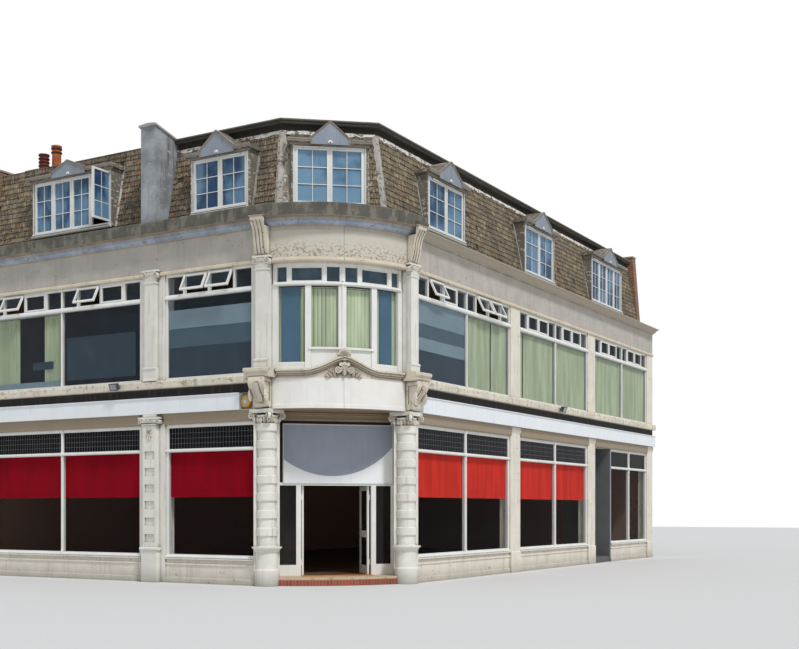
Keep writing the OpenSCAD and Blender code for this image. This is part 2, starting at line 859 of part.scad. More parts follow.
module bow_frame() {
    z0 = sill_top_z + seam;
    z1 = upper_head_z - seam;
    zt = upper_transom_z + 70;
    a1 = 90 - bow_a0;
    back = 12 - bow_d;
    color(white) {
        bow_posts(bow_low, [z0, zt], 1);
        bow_posts(bow_high, [zt - 1, z1], 0.7);
        bow_band(bow_a0, a1, [[back, zt - bow_rail / 2], [-2, zt - bow_rail / 2],
            [-2, zt - 30], [35, zt - 20], [35, zt + 10], [-2, zt + 20],
            [-2, zt + bow_rail / 2], [back, zt + bow_rail / 2]]);
        bow_band(bow_a0, a1, [[back, z1 - bow_rail], [-2, z1 - bow_rail], [-2, z1], [back, z1]]);
        for (i = [0 : 3]) {
            z = bow_sill(i);
            nose = z == bow_high_z ? 42 : -7;
            bow_band(bow_low[i] + 0.4, bow_low[i + 1] - 0.4, [[back, z0 + 3], [-10, z0 + 3], [-10, z],
                [nose, z], [nose, z + 40], [-10, z + 60], [back, z + 60]]);
        }
    }
}

// A flat pane between two posts, at the middle of the frame's depth
module bow_pane(a0, a1, w0, w1, z) {
    r = bow_r - bow_d / 2;
    half = (a1 - a0) / 2;
    on_curve((a0 + a1) / 2, r * cos(half))
        block([-r * sin(half) + w1 / 2 + 12, r * sin(half) - w0 / 2 - 12],
            [-glass_t / 2, glass_t / 2], z);
}

module bow_glass() {
    zt = upper_transom_z + 70;
    color(pane, 0.5) {
        for (i = [0 : 3]) let(p = [bow_low[i], bow_low[i + 1]])
            bow_pane(p[0], p[1], bow_post(p[0]), bow_post(p[1]),
                [bow_sill(i) + 60 + seam, zt - bow_rail / 2 - seam]);
        for (i = [0 : 5]) let(p = [bow_high[i], bow_high[i + 1]])
            bow_pane(p[0], p[1], 0.7 * bow_post(p[0]), 0.7 * bow_post(p[1]),
                [zt + bow_rail / 2 + seam, upper_head_z - bow_rail - 2 * seam]);
    }
}

// Swan-neck moulding that continues the shelves and climbs to a shell in the middle
crest_a = pilaster_a + asin(shelf_w / 2 / corner_r) + 0.4;
crest_reach = 0.34 * corner_r;
crest_rise = 310;

// Height of the moulding above its foot, at a distance from the middle
function swan(x) = abs(x) > crest_reach ? 0
    : crest_rise * (1 + cos(180 * pow(abs(x) / crest_reach, 0.8))) / 2;

// The band between two heights above the moulding's foot, out to one radius
module crest_band(o, h0, h1, a0) {
    n = 24;
    end = 0.6 * corner_r;
    xs = concat([-end], [for (i = [0 : n]) -crest_reach + 2 * crest_reach * i / n], [end]);
    m = len(xs) - 1;
    intersection() {
        sweep_corner(a0, 90 - a0) translate([bow_r + 16, crest_z + seam])
            square([corner_r + o - bow_r - 16, crest_rise + 300]);
        on_diagonal() rotate([90, 0, 0]) translate([0, 0, 600 - corner_r])
            linear_extrude(corner_r) polygon(concat(
                [for (x = xs) [x, crest_z + (h0 > 0 ? h0 + swan(x) : 0)]],
                [for (i = [m : -1 : 0]) [xs[i], crest_z + h1 + swan(xs[i])]]));
    }
}

module bow_crest() {
    color(white) {
        crest_band(-14, 0, 60, bow_edge + 0.2);
        crest_band(30, 59, 100, crest_a);
        crest_band(75, 99, 150, crest_a);
        crest_band(110, 149, 190, crest_a);
        on_curve(45, corner_r - 40) shell();
    }
}

// Fan shell of seven lobes on a scrolled base, with a leaf that hangs below
module shell() {
    r = 120;
    z = crest_z + crest_rise + 195;
    for (k = [-3 : 3])
        translate([r * sin(k * 27), 0, z + r * cos(k * 27)])
            rotate([-90, 0, 0]) cylinder(r = 40, h = 130, $fn = 24);
    translate([0, 0, z]) rotate([-90, 0, 0]) cylinder(r = r - 6, h = 115, $fn = 48);
    for (s = [-1, 1]) translate([s * 150, 0, crest_z + 170])
        rotate([-90, 0, 0]) cylinder(r = 75, h = 110, $fn = 32);
    for (p = [[0, 300, 60], [0, 220, 72], [-85, 300, 45], [85, 300, 45], [0, 130, 58]])
        translate([p[0], 0, crest_z + p[1]]) rotate([-90, 0, 0])
            cylinder(r = p[2], h = 95, $fn = 24);
}

// First-floor fronts

upper_set = 30;
upper_post = 60;
upper_d = 70;
upper_z0 = sill_top_z;
vent_share = [0, 0.2, 0.5, 0.8, 1];

upper_rail = 110;

module upper_frame(l0, l1, n) {
    light_frame(l0, l1, n, upper_z0, upper_head_z, upper_transom_z,
        upper_d, upper_post, upper_set);
    pitch = (l1 - l0 - upper_post) / n;
    block([l0, l1], [-upper_set - upper_d, -upper_set + 15],
        [upper_transom_z - upper_rail / 2, upper_transom_z + upper_rail / 2]);
    for (i = [0 : n - 1], k = [1 : 3]) {
        x = l0 + upper_post + i * pitch + vent_share[k] * (pitch - upper_post);
        block([x - upper_post / 2, x + upper_post / 2],
            [-upper_set - upper_d, -upper_set], [upper_transom_z, upper_head_z]);
    }
}

module upper_panes(l0, l1, n, open) {
    pitch = (l1 - l0 - upper_post) / n;
    y = [-upper_set - upper_d / 2 - glass_t / 2, -upper_set - upper_d / 2 + glass_t / 2];
    for (i = [0 : n - 1]) {
        a = l0 + upper_post + i * pitch;
        w = pitch - upper_post;
        block([a + seam, a + w - seam], y,
            [upper_z0 + upper_post + seam, upper_transom_z - upper_rail / 2 - seam]);
        for (k = [0 : 3]) if (!is_open(open, i, k))
            block([a + vent_share[k] * w + (k > 0 ? upper_post / 2 : 0) + seam,
                a + vent_share[k + 1] * w - (k < 3 ? upper_post / 2 : 0) - seam], y,
                [upper_transom_z + upper_rail / 2 + seam, upper_head_z - upper_post - seam]);
    }
}

// Vents stand open where listed, as [light, vent]
open_left_1 = [[0, 1], [0, 2]];
open_left_2 = [[0, 2], [1, 2]];
open_right_1 = [[0, 1], [1, 1], [1, 2]];

function is_open(open, i, k) = len([for (o = open) if (o[0] == i && o[1] == k) 1]) > 0;

// Sashes hung from the head rail, pushed out at the bottom
module open_vents(l0, l1, n, open) {
    pitch = (l1 - l0 - upper_post) / n;
    h = upper_head_z - upper_post - upper_transom_z - upper_rail / 2;
    for (o = open) {
        w = (vent_share[o[1] + 1] - vent_share[o[1]]) * (pitch - upper_post) - upper_post;
        x = l0 + upper_post * 1.5 + o[0] * pitch + vent_share[o[1]] * (pitch - upper_post);
        translate([x, -upper_set - 5, upper_head_z - upper_post]) rotate([26, 0, 0])
            difference() {
                block([3, w - 3], [5, 45], [-h, 12]);
                block([53, w - 53], [0, 50], [50 - h, -38]);
            }
    }
}

module upper_windows_left() {
    color(white) on_left() {
        upper_frame(left_1a, left_1b, 1);
        upper_frame(left_2a, left_2b, 2);
        open_vents(left_1a, left_1b, 1, open_left_1);
        open_vents(left_2a, left_2b, 2, open_left_2);
    }
}

module upper_windows_right() {
    color(white) on_right() {
        for (l = [right_1a, right_2a, right_3a]) upper_frame(l, l + right_bay_w, 2);
        open_vents(right_1a, right_1b, 2, open_right_1);
    }
}

module upper_glass() {
    color(pane, 0.5) {
        on_left() {
            upper_panes(left_1a, left_1b, 1, open_left_1);
            upper_panes(left_2a, left_2b, 2, open_left_2);
        }
        on_right() for (l = [right_1a, right_2a, right_3a])
            upper_panes(l, l + right_bay_w, 2, l == right_1a ? open_right_1 : []);
    }
}

// Hanging blinds behind the first-floor lights of the right front
module upper_blinds() {
    back = upper_set + upper_d;
    pitch = (right_bay_w - upper_post) / 2;
    color("#b4bd94") on_right() for (l = [right_1a, right_2a, right_3a], i = [0, 1])
        block([l + i * pitch + upper_post, l + (i + 1) * pitch],
            [-back - blind_t - seam, -back - seam],
            [upper_z0, upper_transom_z + upper_rail / 2]);
}

pedestal_z = 5170;
upper_cap_z = 7250;
upper_cap_top_z = 7500;
neck_z = 7165;
upper_roll = 78;

// Pilaster with pedestal, plain shaft and Ionic capital; y = 0 is the wall face
module pilaster(w) {
    o = pilaster_o;
    block([-w / 2, w / 2], [0, o + 18], [pedestal_z, upper_cap_z]);
    across(w + 60) polygon([[0, sill_top_z], [o + 50, sill_top_z],
        [o + 50, sill_top_z + 40], [o + 35, sill_top_z + 60],
        [o + 35, pedestal_z - 70], [o + 55, pedestal_z - 50], [o + 55, pedestal_z - 20],
        [o + 20, pedestal_z], [0, pedestal_z]]);
    across(w + 40) polygon([[0, neck_z], [o + 25, neck_z], [o + 38, neck_z + 20],
        [o + 25, neck_z + 40], [0, neck_z + 40]]);
    across(w + 20) polygon([[0, upper_cap_z], [o + 20, upper_cap_z],
        [o + 35, upper_cap_top_z - 150], [0, upper_cap_top_z - 150]]);
    translate([0, (o + 40) / 2, 0])
        ionic_capital(w + 150, upper_cap_z - 30, upper_cap_top_z - upper_cap_z + 30, o + 40,
            upper_roll);
}

module upper_piers_left() {
    color(white) on_left() for (l = [left_1b, left_2b])
        translate([l + left_pier_w / 2, 0, 0]) {
            block([-left_pier_w / 2, left_pier_w / 2], [-wall_t, 0], [sill_top_z, upper_head_z]);
            pilaster(pilaster_w);
        }
}

module upper_piers_right() {
    color(stucco) on_right() for (l = [right_1b, right_2b, right_3b])
        block([l, l + right_pier_w], [-wall_t, 0], [sill_top_z, upper_head_z]);
}

// Corner pilasters stand on the console shelves, backed by the wall's jambs
module corner_pilasters() {
    color(white) both_sides() {
        difference() {
            on_curve(pilaster_a, corner_r + 1) pilaster(corner_pilaster_w - 60);
            sweep_corner(-10, 30) translate([0, sill_top_z - 1])
                square([corner_r + 60, shelf_top_z - sill_top_z + 1]);
            on_curve(pilaster_a, corner_r) block([-500, 500], [-10, 500],
                [0, shelf_top_z + seam]);
            block([-600, seam], [-4000, 0], [0, upper_cap_top_z + 1]);
        }
        sweep_corner(0.01, bow_edge) polygon([[bow_r + 16, crest_z + seam],
            [corner_r - 20, crest_z + seam], [corner_r - 20, shelf_top_z + 4],
            [corner_r + 10, shelf_top_z + 4], [corner_r + 10, upper_head_z - seam],
            [corner_r - wall_t, upper_head_z - seam], [corner_r - wall_t, sill_top_z + seam],
            [bow_r + 16, sill_top_z + seam]]);
    }
}

// Frieze, cornice and gutter

bead_z = 7440;

module frieze_profile(o) {
    polygon([[o - wall_t, upper_head_z], [o + 30, upper_head_z], [o + 42, upper_head_z + 20],
        [o + 42, bead_z - 30], [o + 20, bead_z], [o, bead_z], [o, cornice_z],
        [o - wall_t, cornice_z]]);
}

// Room for a pilaster cap in front of the frieze
module cap_room(w) {
    block([-w / 2, w / 2], [0, 400], [upper_head_z - 1, bead_z + 1]);
}

module frieze() {
    color(stucco) {
        on_left() difference() {
            run(corner_r + seam, left_end) frieze_profile(0);
            for (l = [left_1b, left_2b]) translate([l + left_pier_w / 2, 0, 0])
                cap_room(pilaster_w + 152);
        }
        on_right() run(corner_r + seam, right_end) frieze_profile(0);
        difference() {
            sweep_corner(0, 90) frieze_profile(corner_r);
            both_sides() on_curve(pilaster_a, corner_r) cap_room(corner_pilaster_w + 92);
        }
    }
}

// Bed mould, cyma and gutter band, open on top as a gutter. Past the corner the right front
// has no band: a sloped ledge runs from the cyma to the foot of the roof slope.
module cornice_profile(o, back, gutter = true) {
    band = cornice_o;
    cyma_z = cornice_z + 35;
    band_z = gutter ? 8345 : 8315;
    n = 8;
    cyma = [for (i = [0 : n]) let(t = i / n)
        [o + 55 + (band - 95) * t + 16 * sin(360 * t), cyma_z + (band_z - 20 - cyma_z) * t]];
    polygon(concat([[back, cornice_z], [o + 40, cornice_z], [o + 40, cyma_z - 10]], cyma,
        gutter
            ? [[o + band, band_z - 20], [o + band, cornice_top_z - 25],
                [o + band - 15, cornice_top_z], [o + band - 70, cornice_top_z],
                [o + band - 70, gutter_z], [back, gutter_z]]
            : [[o + band, band_z - 20], [o + band, band_z], [o + band - 15, band_z + 10],
                [back, gutter_z]]));
}

module ledge_profile() {
    polygon([[-roof_foot, attic_floor_z], [-wall_t, attic_floor_z], [-wall_t, gutter_z],
        [-roof_foot, gutter_z]]);
}

module cornice() {
    color(stucco) {
        on_left() run(corner_r + seam, left_end) {
            cornice_profile(0, -wall_t);
            ledge_profile();
        }
        on_right() run(corner_r + seam, right_end) {
            cornice_profile(0, -wall_t, false);
            ledge_profile();
        }
        sweep_corner(0, 90) cornice_profile(corner_r, corner_r - wall_t);
    }
}

// Fluted scroll console from the pilaster cap up to the gutter band
module cornice_console() {
    n = 20;
    w = 330;
    z0 = upper_cap_top_z;
    z1 = 8350;
    face = [for (i = [0 : n]) let(t = i / n)
        [100 + 240 * pow(t, 1.5) + 25 * sin(360 * t), z0 + 40 + t * (z1 - z0 - 130)]];
    difference() {
        across(w) polygon(concat([[0.5, z0], [80, z0]], face,
            [[340, z1 - 60], [340, z1], [0.5, z1]]));
        for (k = [-1, 0, 1])
            translate([k * 90, 0, 0]) across(30) translate([-1, 0]) difference() {
                polygon(concat([[420, z0 + 60], [420, z1 - 60]],
                    [for (i = [n : -1 : 0]) [face[i][0] - 12, face[i][1]]]));
            }
    }
    across(w + 60) polygon([[0.5, z1], [355, z1], [375, z1 + 30],
        [375, z1 + 80], [0.5, z1 + 80]]);
}

module cornice_consoles() {
    color(white) both_sides() on_curve(pilaster_a, corner_r) difference() {
        cornice_console();
        cornice_void();
    }
}

// The space that the frieze bead and the cornice already fill, seen from the station
module cornice_void() {
    translate([0, -corner_r, 0]) rotate([0, 0, 90]) rotate_extrude($fn = 128)
        translate([seam, 0]) {
            translate([corner_r - wall_t, cornice_z - seam])
                square([wall_t + cornice_o, cornice_top_z - cornice_z]);
        }
}

// Mansard roof

facet_a = atan2(hip_right - roof_foot, hip_left - roof_foot);
facet_l = norm([hip_right - roof_foot, hip_left - roof_foot]);

module slope_profile() {
    z0 = attic_floor_z + seam;
    polygon([[-roof_foot, z0], [-roof_foot, gutter_z], [-roof_top, roof_z],
        [-roof_top - slope_t, roof_z], [-roof_foot - slope_t, z0]]);
}

// Everything behind the outer face of the roof slope
module behind_slope(l0, l1) {
    run(l0, l1) polygon([[-roof_foot, 0], [-roof_foot, gutter_z], [-roof_top, roof_z],
        [-roof_top, 13000], [-5000, 13000], [-5000, 0]]);
}

// Removes what lies past the mitre plane of a hip; a is the turn of the wall there
module mitre(l, a) {
    big = 3000;
    translate([l, -roof_foot, 0]) rotate([0, 0, a / 2])
        block([-big, seam / 2], [-big, big], [0, roof_z + big]);
}

// Frame of the corner facet: x from the left hip's foot, y out of the facet
module on_facet() {
    at_crossing() translate([-hip_left, roof_foot, 0]) rotate([0, 0, facet_a])
        mirror([0, 1, 0]) translate([0, roof_foot, 0]) children();
}

// Dormers as [centre along the front, width, sill, head, apex, lights, half width of gable]
left_dormers = [
    [4070, dormer_w, 8850, 10130, 10710, 2, 520],
    [8925, wide_dormer_w, 8940, 10320, 10740, 4, 600]];
corner_dormer = [facet_l / 2 - 55, dormer_w, 8780, 10150, 10710, 2, 460];
right_dormers = [
    [5030, 2070, 8730, 10050, 10610, 2, 620],
    [10980, 2250, 8680, 10080, 10630, 2, 640],
    [16750, 3000, 8670, 10130, 10670, 4, 640]];
cheek = 60;
dormer_back = 1040;

module dormer_box(d) {
    block([d[0] - d[1] / 2, d[0] + d[1] / 2], [-dormer_back, -dormer_set],
        [d[2] - 50, d[3] + 50]);
}

module mansard_roof() {
    color(tile) {
        on_left() difference() {
            run(hip_left - 600, left_end - wall_t) slope_profile();
            mitre(hip_left, facet_a);
            for (d = left_dormers) dormer_box(d);
        }
        on_right() difference() {
            run(hip_right - 600, right_end - wall_t) slope_profile();
            mitre(hip_right, 90 - facet_a);
            for (d = right_dormers) dormer_box(d);
        }
        on_facet() difference() {
            run(-600, facet_l + 600) slope_profile();
            mitre(0, facet_a);
            translate([facet_l, 0, 0]) mirror([1, 0, 0]) mitre(0, 90 - facet_a);
            dormer_box(corner_dormer);
        }
    }
}

// Roof outline at one setback round the corner, and another past the upstand
module roof_plan(s, t) {
    d = s - roof_foot;
    at_crossing() polygon([[-left_end + wall_t, t], [-upstand_a, t], [-upstand_a, s],
        [-hip_left - d * tan(facet_a / 2), s],
        [-s, hip_right + d * tan((90 - facet_a) / 2)], [-s, right_end - wall_t],
        [-left_end + wall_t, right_end - wall_t]]);
}

module flat_roof() {
    color("#5c5c58") {
        translate([0, 0, roof_z]) linear_extrude(deck_z - roof_z)
            roof_plan(roof_top, roof_top);
        translate([0, 0, deck_z]) linear_extrude(roof_edge_h)
            roof_plan(roof_edge, roof_top);
    }
}

// Dormers: lead-clad cheeks and sill, eaves board and a small pediment

eaves_h = 90;
eaves_over = 70;
eaves_o = 110;

module dormer_case(d) {
    w = d[1] / 2;
    y1 = -dormer_set;
    z = d[3] + 50;
    translate([d[0], 0, 0]) {
        difference() {
            translate([-d[0], 0, 0]) dormer_box(d);
            block([cheek - w, w - cheek], [-dormer_back - 1, y1 + 1], [d[2], d[3]]);
        }
        difference() {
            union() {
                block([-w - eaves_over, w + eaves_over], [-roof_top, y1 + eaves_o],
                    [z, z + eaves_h]);
                translate([0, y1 + eaves_o, 0]) rotate([90, 0, 0])
                    linear_extrude(roof_top + y1 + eaves_o)
                        polygon([[-d[6], z + eaves_h - 1], [d[6], z + eaves_h - 1],
                            [d[6], z + eaves_h + 20], [0, d[4]], [-d[6], z + eaves_h + 20]]);
            }
            behind_slope(-w - 500, w + 500);
        }
    }
}

module dormers() {
    color(lead) {
        on_left() for (d = left_dormers) dormer_case(d);
        on_right() for (d = right_dormers) dormer_case(d);
        on_facet() dormer_case(corner_dormer);
    }
}

dormer_frame_w = 55;
dormer_frame_d = 60;
dormer_frame_in = 20;

module dormer_frame(d) {
    x0 = d[0] - d[1] / 2 + cheek + seam;
    x1 = d[0] + d[1] / 2 - cheek - seam;
    w = dormer_frame_w;
    y = [-dormer_set - dormer_frame_in - dormer_frame_d, -dormer_set - dormer_frame_in];
    z = [d[2] + seam, d[3] - seam];
    pitch = (x1 - x0 - w) / d[5];
    for (i = [0 : d[5]]) block([x0 + i * pitch, x0 + i * pitch + w], y, z);
    block([x0, x1], y, [z[0], z[0] + w]);
    block([x0, x1], y, [z[1] - w, z[1]]);
    block([x0, x1], [y[0], -dormer_set + 60], [z[0], z[0] + 35]);
}

// The casement nearest the corner in the wide left dormer stands open
module open_casement(d) {
    x0 = d[0] - d[1] / 2 + cheek + seam + dormer_frame_w;
    h = [d[2] + dormer_frame_w + 5, d[3] - dormer_frame_w - 5];
    w = (d[1] - 2 * cheek - 5 * dormer_frame_w) / d[5] + 5;
    translate([x0 - 45, -dormer_set - dormer_frame_in - 1, 0]) difference() {
        block([0, 45], [0, w], h);
        block([-1, 46], [50, w - 50], [h[0] + 50, h[1] - 50]);
    }
}

module dormer_panes(d) {
    x0 = d[0] - d[1] / 2 + cheek + seam;
    x1 = d[0] + d[1] / 2 - cheek - seam;
    w = dormer_frame_w;
    mid = -dormer_set - dormer_frame_in - dormer_frame_d / 2;
    pitch = (x1 - x0 - w) / d[5];
    for (i = [d[1] == wide_dormer_w ? 1 : 0 : d[5] - 1])
        block([x0 + i * pitch + w + seam, x0 + (i + 1) * pitch - seam],
            [mid - glass_t / 2, mid + glass_t / 2],
            [d[2] + w + 2 * seam, d[3] - w - 2 * seam]);
}

module dormer_windows() {
    color(white) {
        on_left() open_casement(left_dormers[1]);
        on_left() for (d = left_dormers) dormer_frame(d);
        on_right() for (d = right_dormers) dormer_frame(d);
        on_facet() dormer_frame(corner_dormer);
    }
}

module dormer_glass() {
    color(pane, 0.5) {
        on_left() for (d = left_dormers) dormer_panes(d);
        on_right() for (d = right_dormers) dormer_panes(d);
        on_facet() dormer_panes(corner_dormer);
    }
}

// Rendered wall that stands up through the left roof slope
module roof_upstand() {
    color("#9a9890") on_left() difference() {
        run(upstand_a, upstand_a + upstand_w) polygon([[-50, gutter_z], [-50, upstand_z],
            [-1100, upstand_z - 250], [-1100, gutter_z]]);
        run(upstand_a - 10, upstand_a + upstand_w + 10) polygon([[-roof_foot, 0],
            [-roof_foot, gutter_z], [-roof_top, roof_z], [-roof_top, deck_z + roof_edge_h],
            [-5000, deck_z + roof_edge_h], [-5000, 0]]);
    }
}

// Brick stack on the west party wall with two clay pots

stack_a = 1950;
stack_b = 3400;
stack_z = 11350;
pots = [[2430, 11900], [2905, 12270]];

module clay_pot(h) {
    rotate_extrude($fn = 48) polygon([[0, -10], [165, -10], [165, 40], [140, 60],
        [125, h - 60], [150, h - 45], [150, h], [110, h], [110, 100], [0, 100]]);
}

module chimney_stack() {
    color(brick) at_crossing() {
        translate([-left_end, stack_a, parapet_z]) cube([500, stack_b - stack_a,
            stack_z - parapet_z]);
        translate([-left_end, stack_a - 40, stack_z - 160])
            cube([540, stack_b - stack_a + 80, 70]);
        for (p = pots) translate([-left_end + 250, p[0], stack_z]) clay_pot(p[1] - stack_z);
    }
}

// Alarm box beside the end of the left fascia, and a floodlight on each sill
alarm_a = corner_r + 160;
alarm_z = fascia_z + 190;

module floodlight() {
    block([-15, 15], [130, 185], [-15, 15]);
    translate([0, 225, 0]) rotate([-20, 0, 0]) {
        block([-110, 110], [-45, 45], [-75, 75]);
        block([-125, 125], [45, 60], [-90, 90]);
    }
}

module wall_fittings() {
    color("#d9a441") {
        on_left() {
            translate([alarm_a, -60, alarm_z]) rotate([-90, 0, 0])
                cylinder(r = 145, h = 120, $fn = 6);
            translate([left_2a + 0.12 * left_bay_2_w, 0, sill_z + 100]) floodlight();
        }
        on_right() translate([right_2a + 0.5 * right_bay_w, 0, sill_z + 100]) floodlight();
    }
}

ground_floor();
entrance_step();
party_wall_west();
party_wall_north();
stall_risers();
ground_piers_left();
ground_piers_right();
corner_column_left();
corner_column_right();
entrance_returns();
shopfront_left();
shopfront_right();
shop_glass();
shop_blinds();
entrance_frame();
entrance_glass();
entrance_panel();
door_leaf_left();
door_leaf_right();
side_lobby();
side_door();
first_floor();
fascia();
sill_bands();
corner_apron();
apron_consoles();
bow_frame();
bow_glass();
bow_crest();
upper_windows_left();
upper_windows_right();
upper_glass();
upper_blinds();
upper_piers_left();
upper_piers_right();
corner_pilasters();
frieze();
cornice();
cornice_consoles();
attic_floor();
mansard_roof();
flat_roof();
dormers();
dormer_windows();
dormer_glass();
roof_upstand();
chimney_stack();
wall_fittings();
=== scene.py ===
import math
import random
from collections import namedtuple

import bmesh
import bpy
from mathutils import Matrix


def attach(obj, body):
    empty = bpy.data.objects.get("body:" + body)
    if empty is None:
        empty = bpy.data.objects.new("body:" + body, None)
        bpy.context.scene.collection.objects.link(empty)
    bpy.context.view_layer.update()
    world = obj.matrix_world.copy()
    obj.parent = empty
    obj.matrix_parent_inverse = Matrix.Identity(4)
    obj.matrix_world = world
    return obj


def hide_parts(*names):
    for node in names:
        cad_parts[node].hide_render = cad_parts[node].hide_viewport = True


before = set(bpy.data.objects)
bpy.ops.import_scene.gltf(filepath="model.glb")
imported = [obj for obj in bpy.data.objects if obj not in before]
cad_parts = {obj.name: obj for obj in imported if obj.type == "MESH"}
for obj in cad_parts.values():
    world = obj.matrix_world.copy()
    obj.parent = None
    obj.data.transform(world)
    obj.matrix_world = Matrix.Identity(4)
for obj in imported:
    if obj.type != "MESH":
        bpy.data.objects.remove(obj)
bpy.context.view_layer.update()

# Camera: eye height above the road on the far side of the junction, level, with the
# lens shifted up as in an architectural view.
eye = bpy.data.cameras.new("camera")
eye.lens = 52.67
eye.sensor_width = 36
eye.shift_y = 0.231
camera = bpy.data.objects.new("camera", eye)
camera.location = (16.311, -24.163, 1.757)
camera.rotation_euler = (math.radians(90), 0, math.atan2(0.50252, 0.86457))
bpy.context.scene.collection.objects.link(camera)
bpy.context.scene.camera = camera
bpy.context.scene.view_settings.view_transform = "Standard"

# Studio: a pale level floor, a white backdrop for the camera only, an even sky and one
# large soft lamp from the side that the sun stands on in the street.
FLOOR_HALF, FLOOR_TONE = 90, (0.72, 0.72, 0.72, 1)
SKY_LEVEL, SKY_TONE = 0.5, (0.95, 0.98, 1.0, 1)
LAMP_LEVEL, LAMP_FROM = 1.9, (0.667, -0.35, 1.0)

floor_mesh = bpy.data.meshes.new("studio_floor")
floor_mesh.from_pydata([(x * FLOOR_HALF, y * FLOOR_HALF, 0)
                        for x, y in ((-1, -1), (1, -1), (1, 1), (-1, 1))], [], [(0, 1, 2, 3)])
floor = bpy.data.objects.new("studio_floor", floor_mesh)
bpy.context.scene.collection.objects.link(floor)
floor_paint = bpy.data.materials.new("studio_floor")
floor_paint.use_nodes = True
matt = floor_paint.node_tree.nodes["Principled BSDF"].inputs
matt["Base Color"].default_value = FLOOR_TONE
matt["Roughness"].default_value = 0.9
floor_mesh.materials.append(floor_paint)

world = bpy.data.worlds.new("studio")
bpy.context.scene.world = world
world.use_nodes = True
nodes, link = world.node_tree.nodes, world.node_tree.links.new
sky, white_sky = nodes["Background"], nodes.new("ShaderNodeBackground")
sky.inputs["Color"].default_value = SKY_TONE
sky.inputs["Strength"].default_value = SKY_LEVEL
white_sky.inputs["Color"].default_value = (1, 1, 1, 1)
pick = nodes.new("ShaderNodeMixShader")
link(nodes.new("ShaderNodeLightPath").outputs["Is Camera Ray"], pick.inputs["Fac"])
link(sky.outputs["Background"], pick.inputs[1])
link(white_sky.outputs["Background"], pick.inputs[2])
link(pick.outputs["Shader"], nodes["World Output"].inputs["Surface"])

lamp = bpy.data.lights.new("key", "SUN")
lamp.energy = LAMP_LEVEL
lamp.angle = math.radians(9)
key = bpy.data.objects.new("key", lamp)
key.rotation_euler = (math.atan2(math.hypot(*LAMP_FROM[:2]), LAMP_FROM[2]), 0,
                      math.atan2(LAMP_FROM[0], -LAMP_FROM[1]))
bpy.context.scene.collection.objects.link(key)

# Stucco and painted joinery of the street fronts: lime and cement render under old
# masonry paint, brushed white woodwork. Each coat is mottled, streaked by rain, darkened in
# its corners by grime and by painted shade and, on the ledges, flaked.
# One colour for rain marks, dirt and the painted shade in corners; a browner one, mostly painted
# shade, for carving.
GRIME_AND_SHADE, CARVED_SHADE_AND_GRIME = (92, 84, 72), (116, 102, 84)


def linear(color):
    """Three channels from 0 to 255 as linear light; a colour of four is linear already."""
    if len(color) == 4:
        return color
    return tuple((c / 255 / 12.92) if c < 11 else ((c / 255 + 0.055) / 1.055) ** 2.4
                 for c in color) + (1,)


class Paint:
    """A material laid up tone over tone, with masks that follow the building's axes."""

    def __init__(self, name, color, rough=0.75, shine=0.5):
        self.material = bpy.data.materials.new(name)
        self.material.use_nodes = True
        self.tree = self.material.node_tree
        self.shader = self.tree.nodes["Principled BSDF"].inputs
        self.shader["Roughness"].default_value = rough
        self.shader["Specular IOR Level"].default_value = shine
        self.tone, self.normal = linear(color), None
        self.place = self.add("ShaderNodeTexCoord")["Object"]
        self.x, self.y, self.z = self.add("ShaderNodeSeparateXYZ", {"Vector": self.place})

    def add(self, kind, inputs=(), **settings):
        """Adds a node and returns its outputs; an input is a value or another output."""
        made = self.tree.nodes.new(kind)
        for setting, value in settings.items():
            setattr(made, setting, value)
        for socket, value in dict(inputs).items():
            if isinstance(value, bpy.types.NodeSocket):
                self.tree.links.new(value, made.inputs[socket])
            else:
                made.inputs[socket].default_value = value
        return made.outputs

    def blend(self, amount, under, over, mode="MIX"):
        """Mixes two colours."""
        under, over = (c if isinstance(c, bpy.types.NodeSocket) else linear(c)
                       for c in (under, over))
        return self.add("ShaderNodeMix", {0: amount, 6: under, 7: over}, data_type="RGBA",
                        blend_type=mode)[2]

    def join(self, a, b, operation="MULTIPLY", clamp=True):
        """Makes one value of two."""
        return self.add("ShaderNodeMath", {0: a, 1: b}, operation=operation,
                        use_clamp=clamp)[0]

    def part(self, value, low, high, top=1.0):
        """Value mapped from low..high to 0..top."""
        return self.add("ShaderNodeMapRange",
                        {"Value": value, "From Min": low, "From Max": high, "To Max": top},
                        interpolation_type="SMOOTHSTEP")["Result"]

    def spots(self, stretch, scale, detail=5.0, rough=0.55):
        """Noise over the object, with its scale stretched along each axis."""
        shift = self.add("ShaderNodeMapping", {"Vector": self.place, "Scale": stretch})
        return self.add("ShaderNodeTexNoise", {"Vector": shift["Vector"], "Scale": scale,
                                               "Detail": detail, "Roughness": rough})["Fac"]

    def within(self, value, low, high, soft=0.006):
        """1 between two values, 0 outside."""
        return self.join(self.part(value, low - soft, low + soft),
                         self.part(value, high - soft, high + soft), "SUBTRACT")

    def hollow_shade(self, reach, wide, deep, top):
        """A mask for painted shade: where other faces within reach shut the surface in."""
        shade = self.add("ShaderNodeAmbientOcclusion", {"Distance": reach}, samples=6)
        return self.part(shade["AO"], wide, deep, top)

    def curve(self):
        """1 on the rounded corner, 0 on the two fronts."""
        return self.join(self.part(self.x, -0.01, 0.01), self.part(self.y, 0.01, -0.01))

    def along(self):
        """X and Y together, which is 0 in the middle of the corner."""
        return self.join(self.x, self.y, "ADD", False)

    def lay(self, color, *masks, mode="MIX"):
        """One more tone, where all the masks hold."""
        amount = masks[0]
        for mask in masks[1:]:
            amount = self.join(amount, mask)
        self.tone = self.blend(amount, self.tone, color, mode)
        self.tree.links.new(self.tone, self.shader["Base Color"])

    def bump(self, relief, strength, distance=0.004, invert=False):
        """Relief over the one before it."""
        inputs = {"Height": relief, "Strength": strength, "Distance": distance}
        if self.normal is not None:
            inputs["Normal"] = self.normal
        self.normal = self.add("ShaderNodeBump", inputs, invert=invert)["Normal"]
        self.tree.links.new(self.normal, self.shader["Normal"])


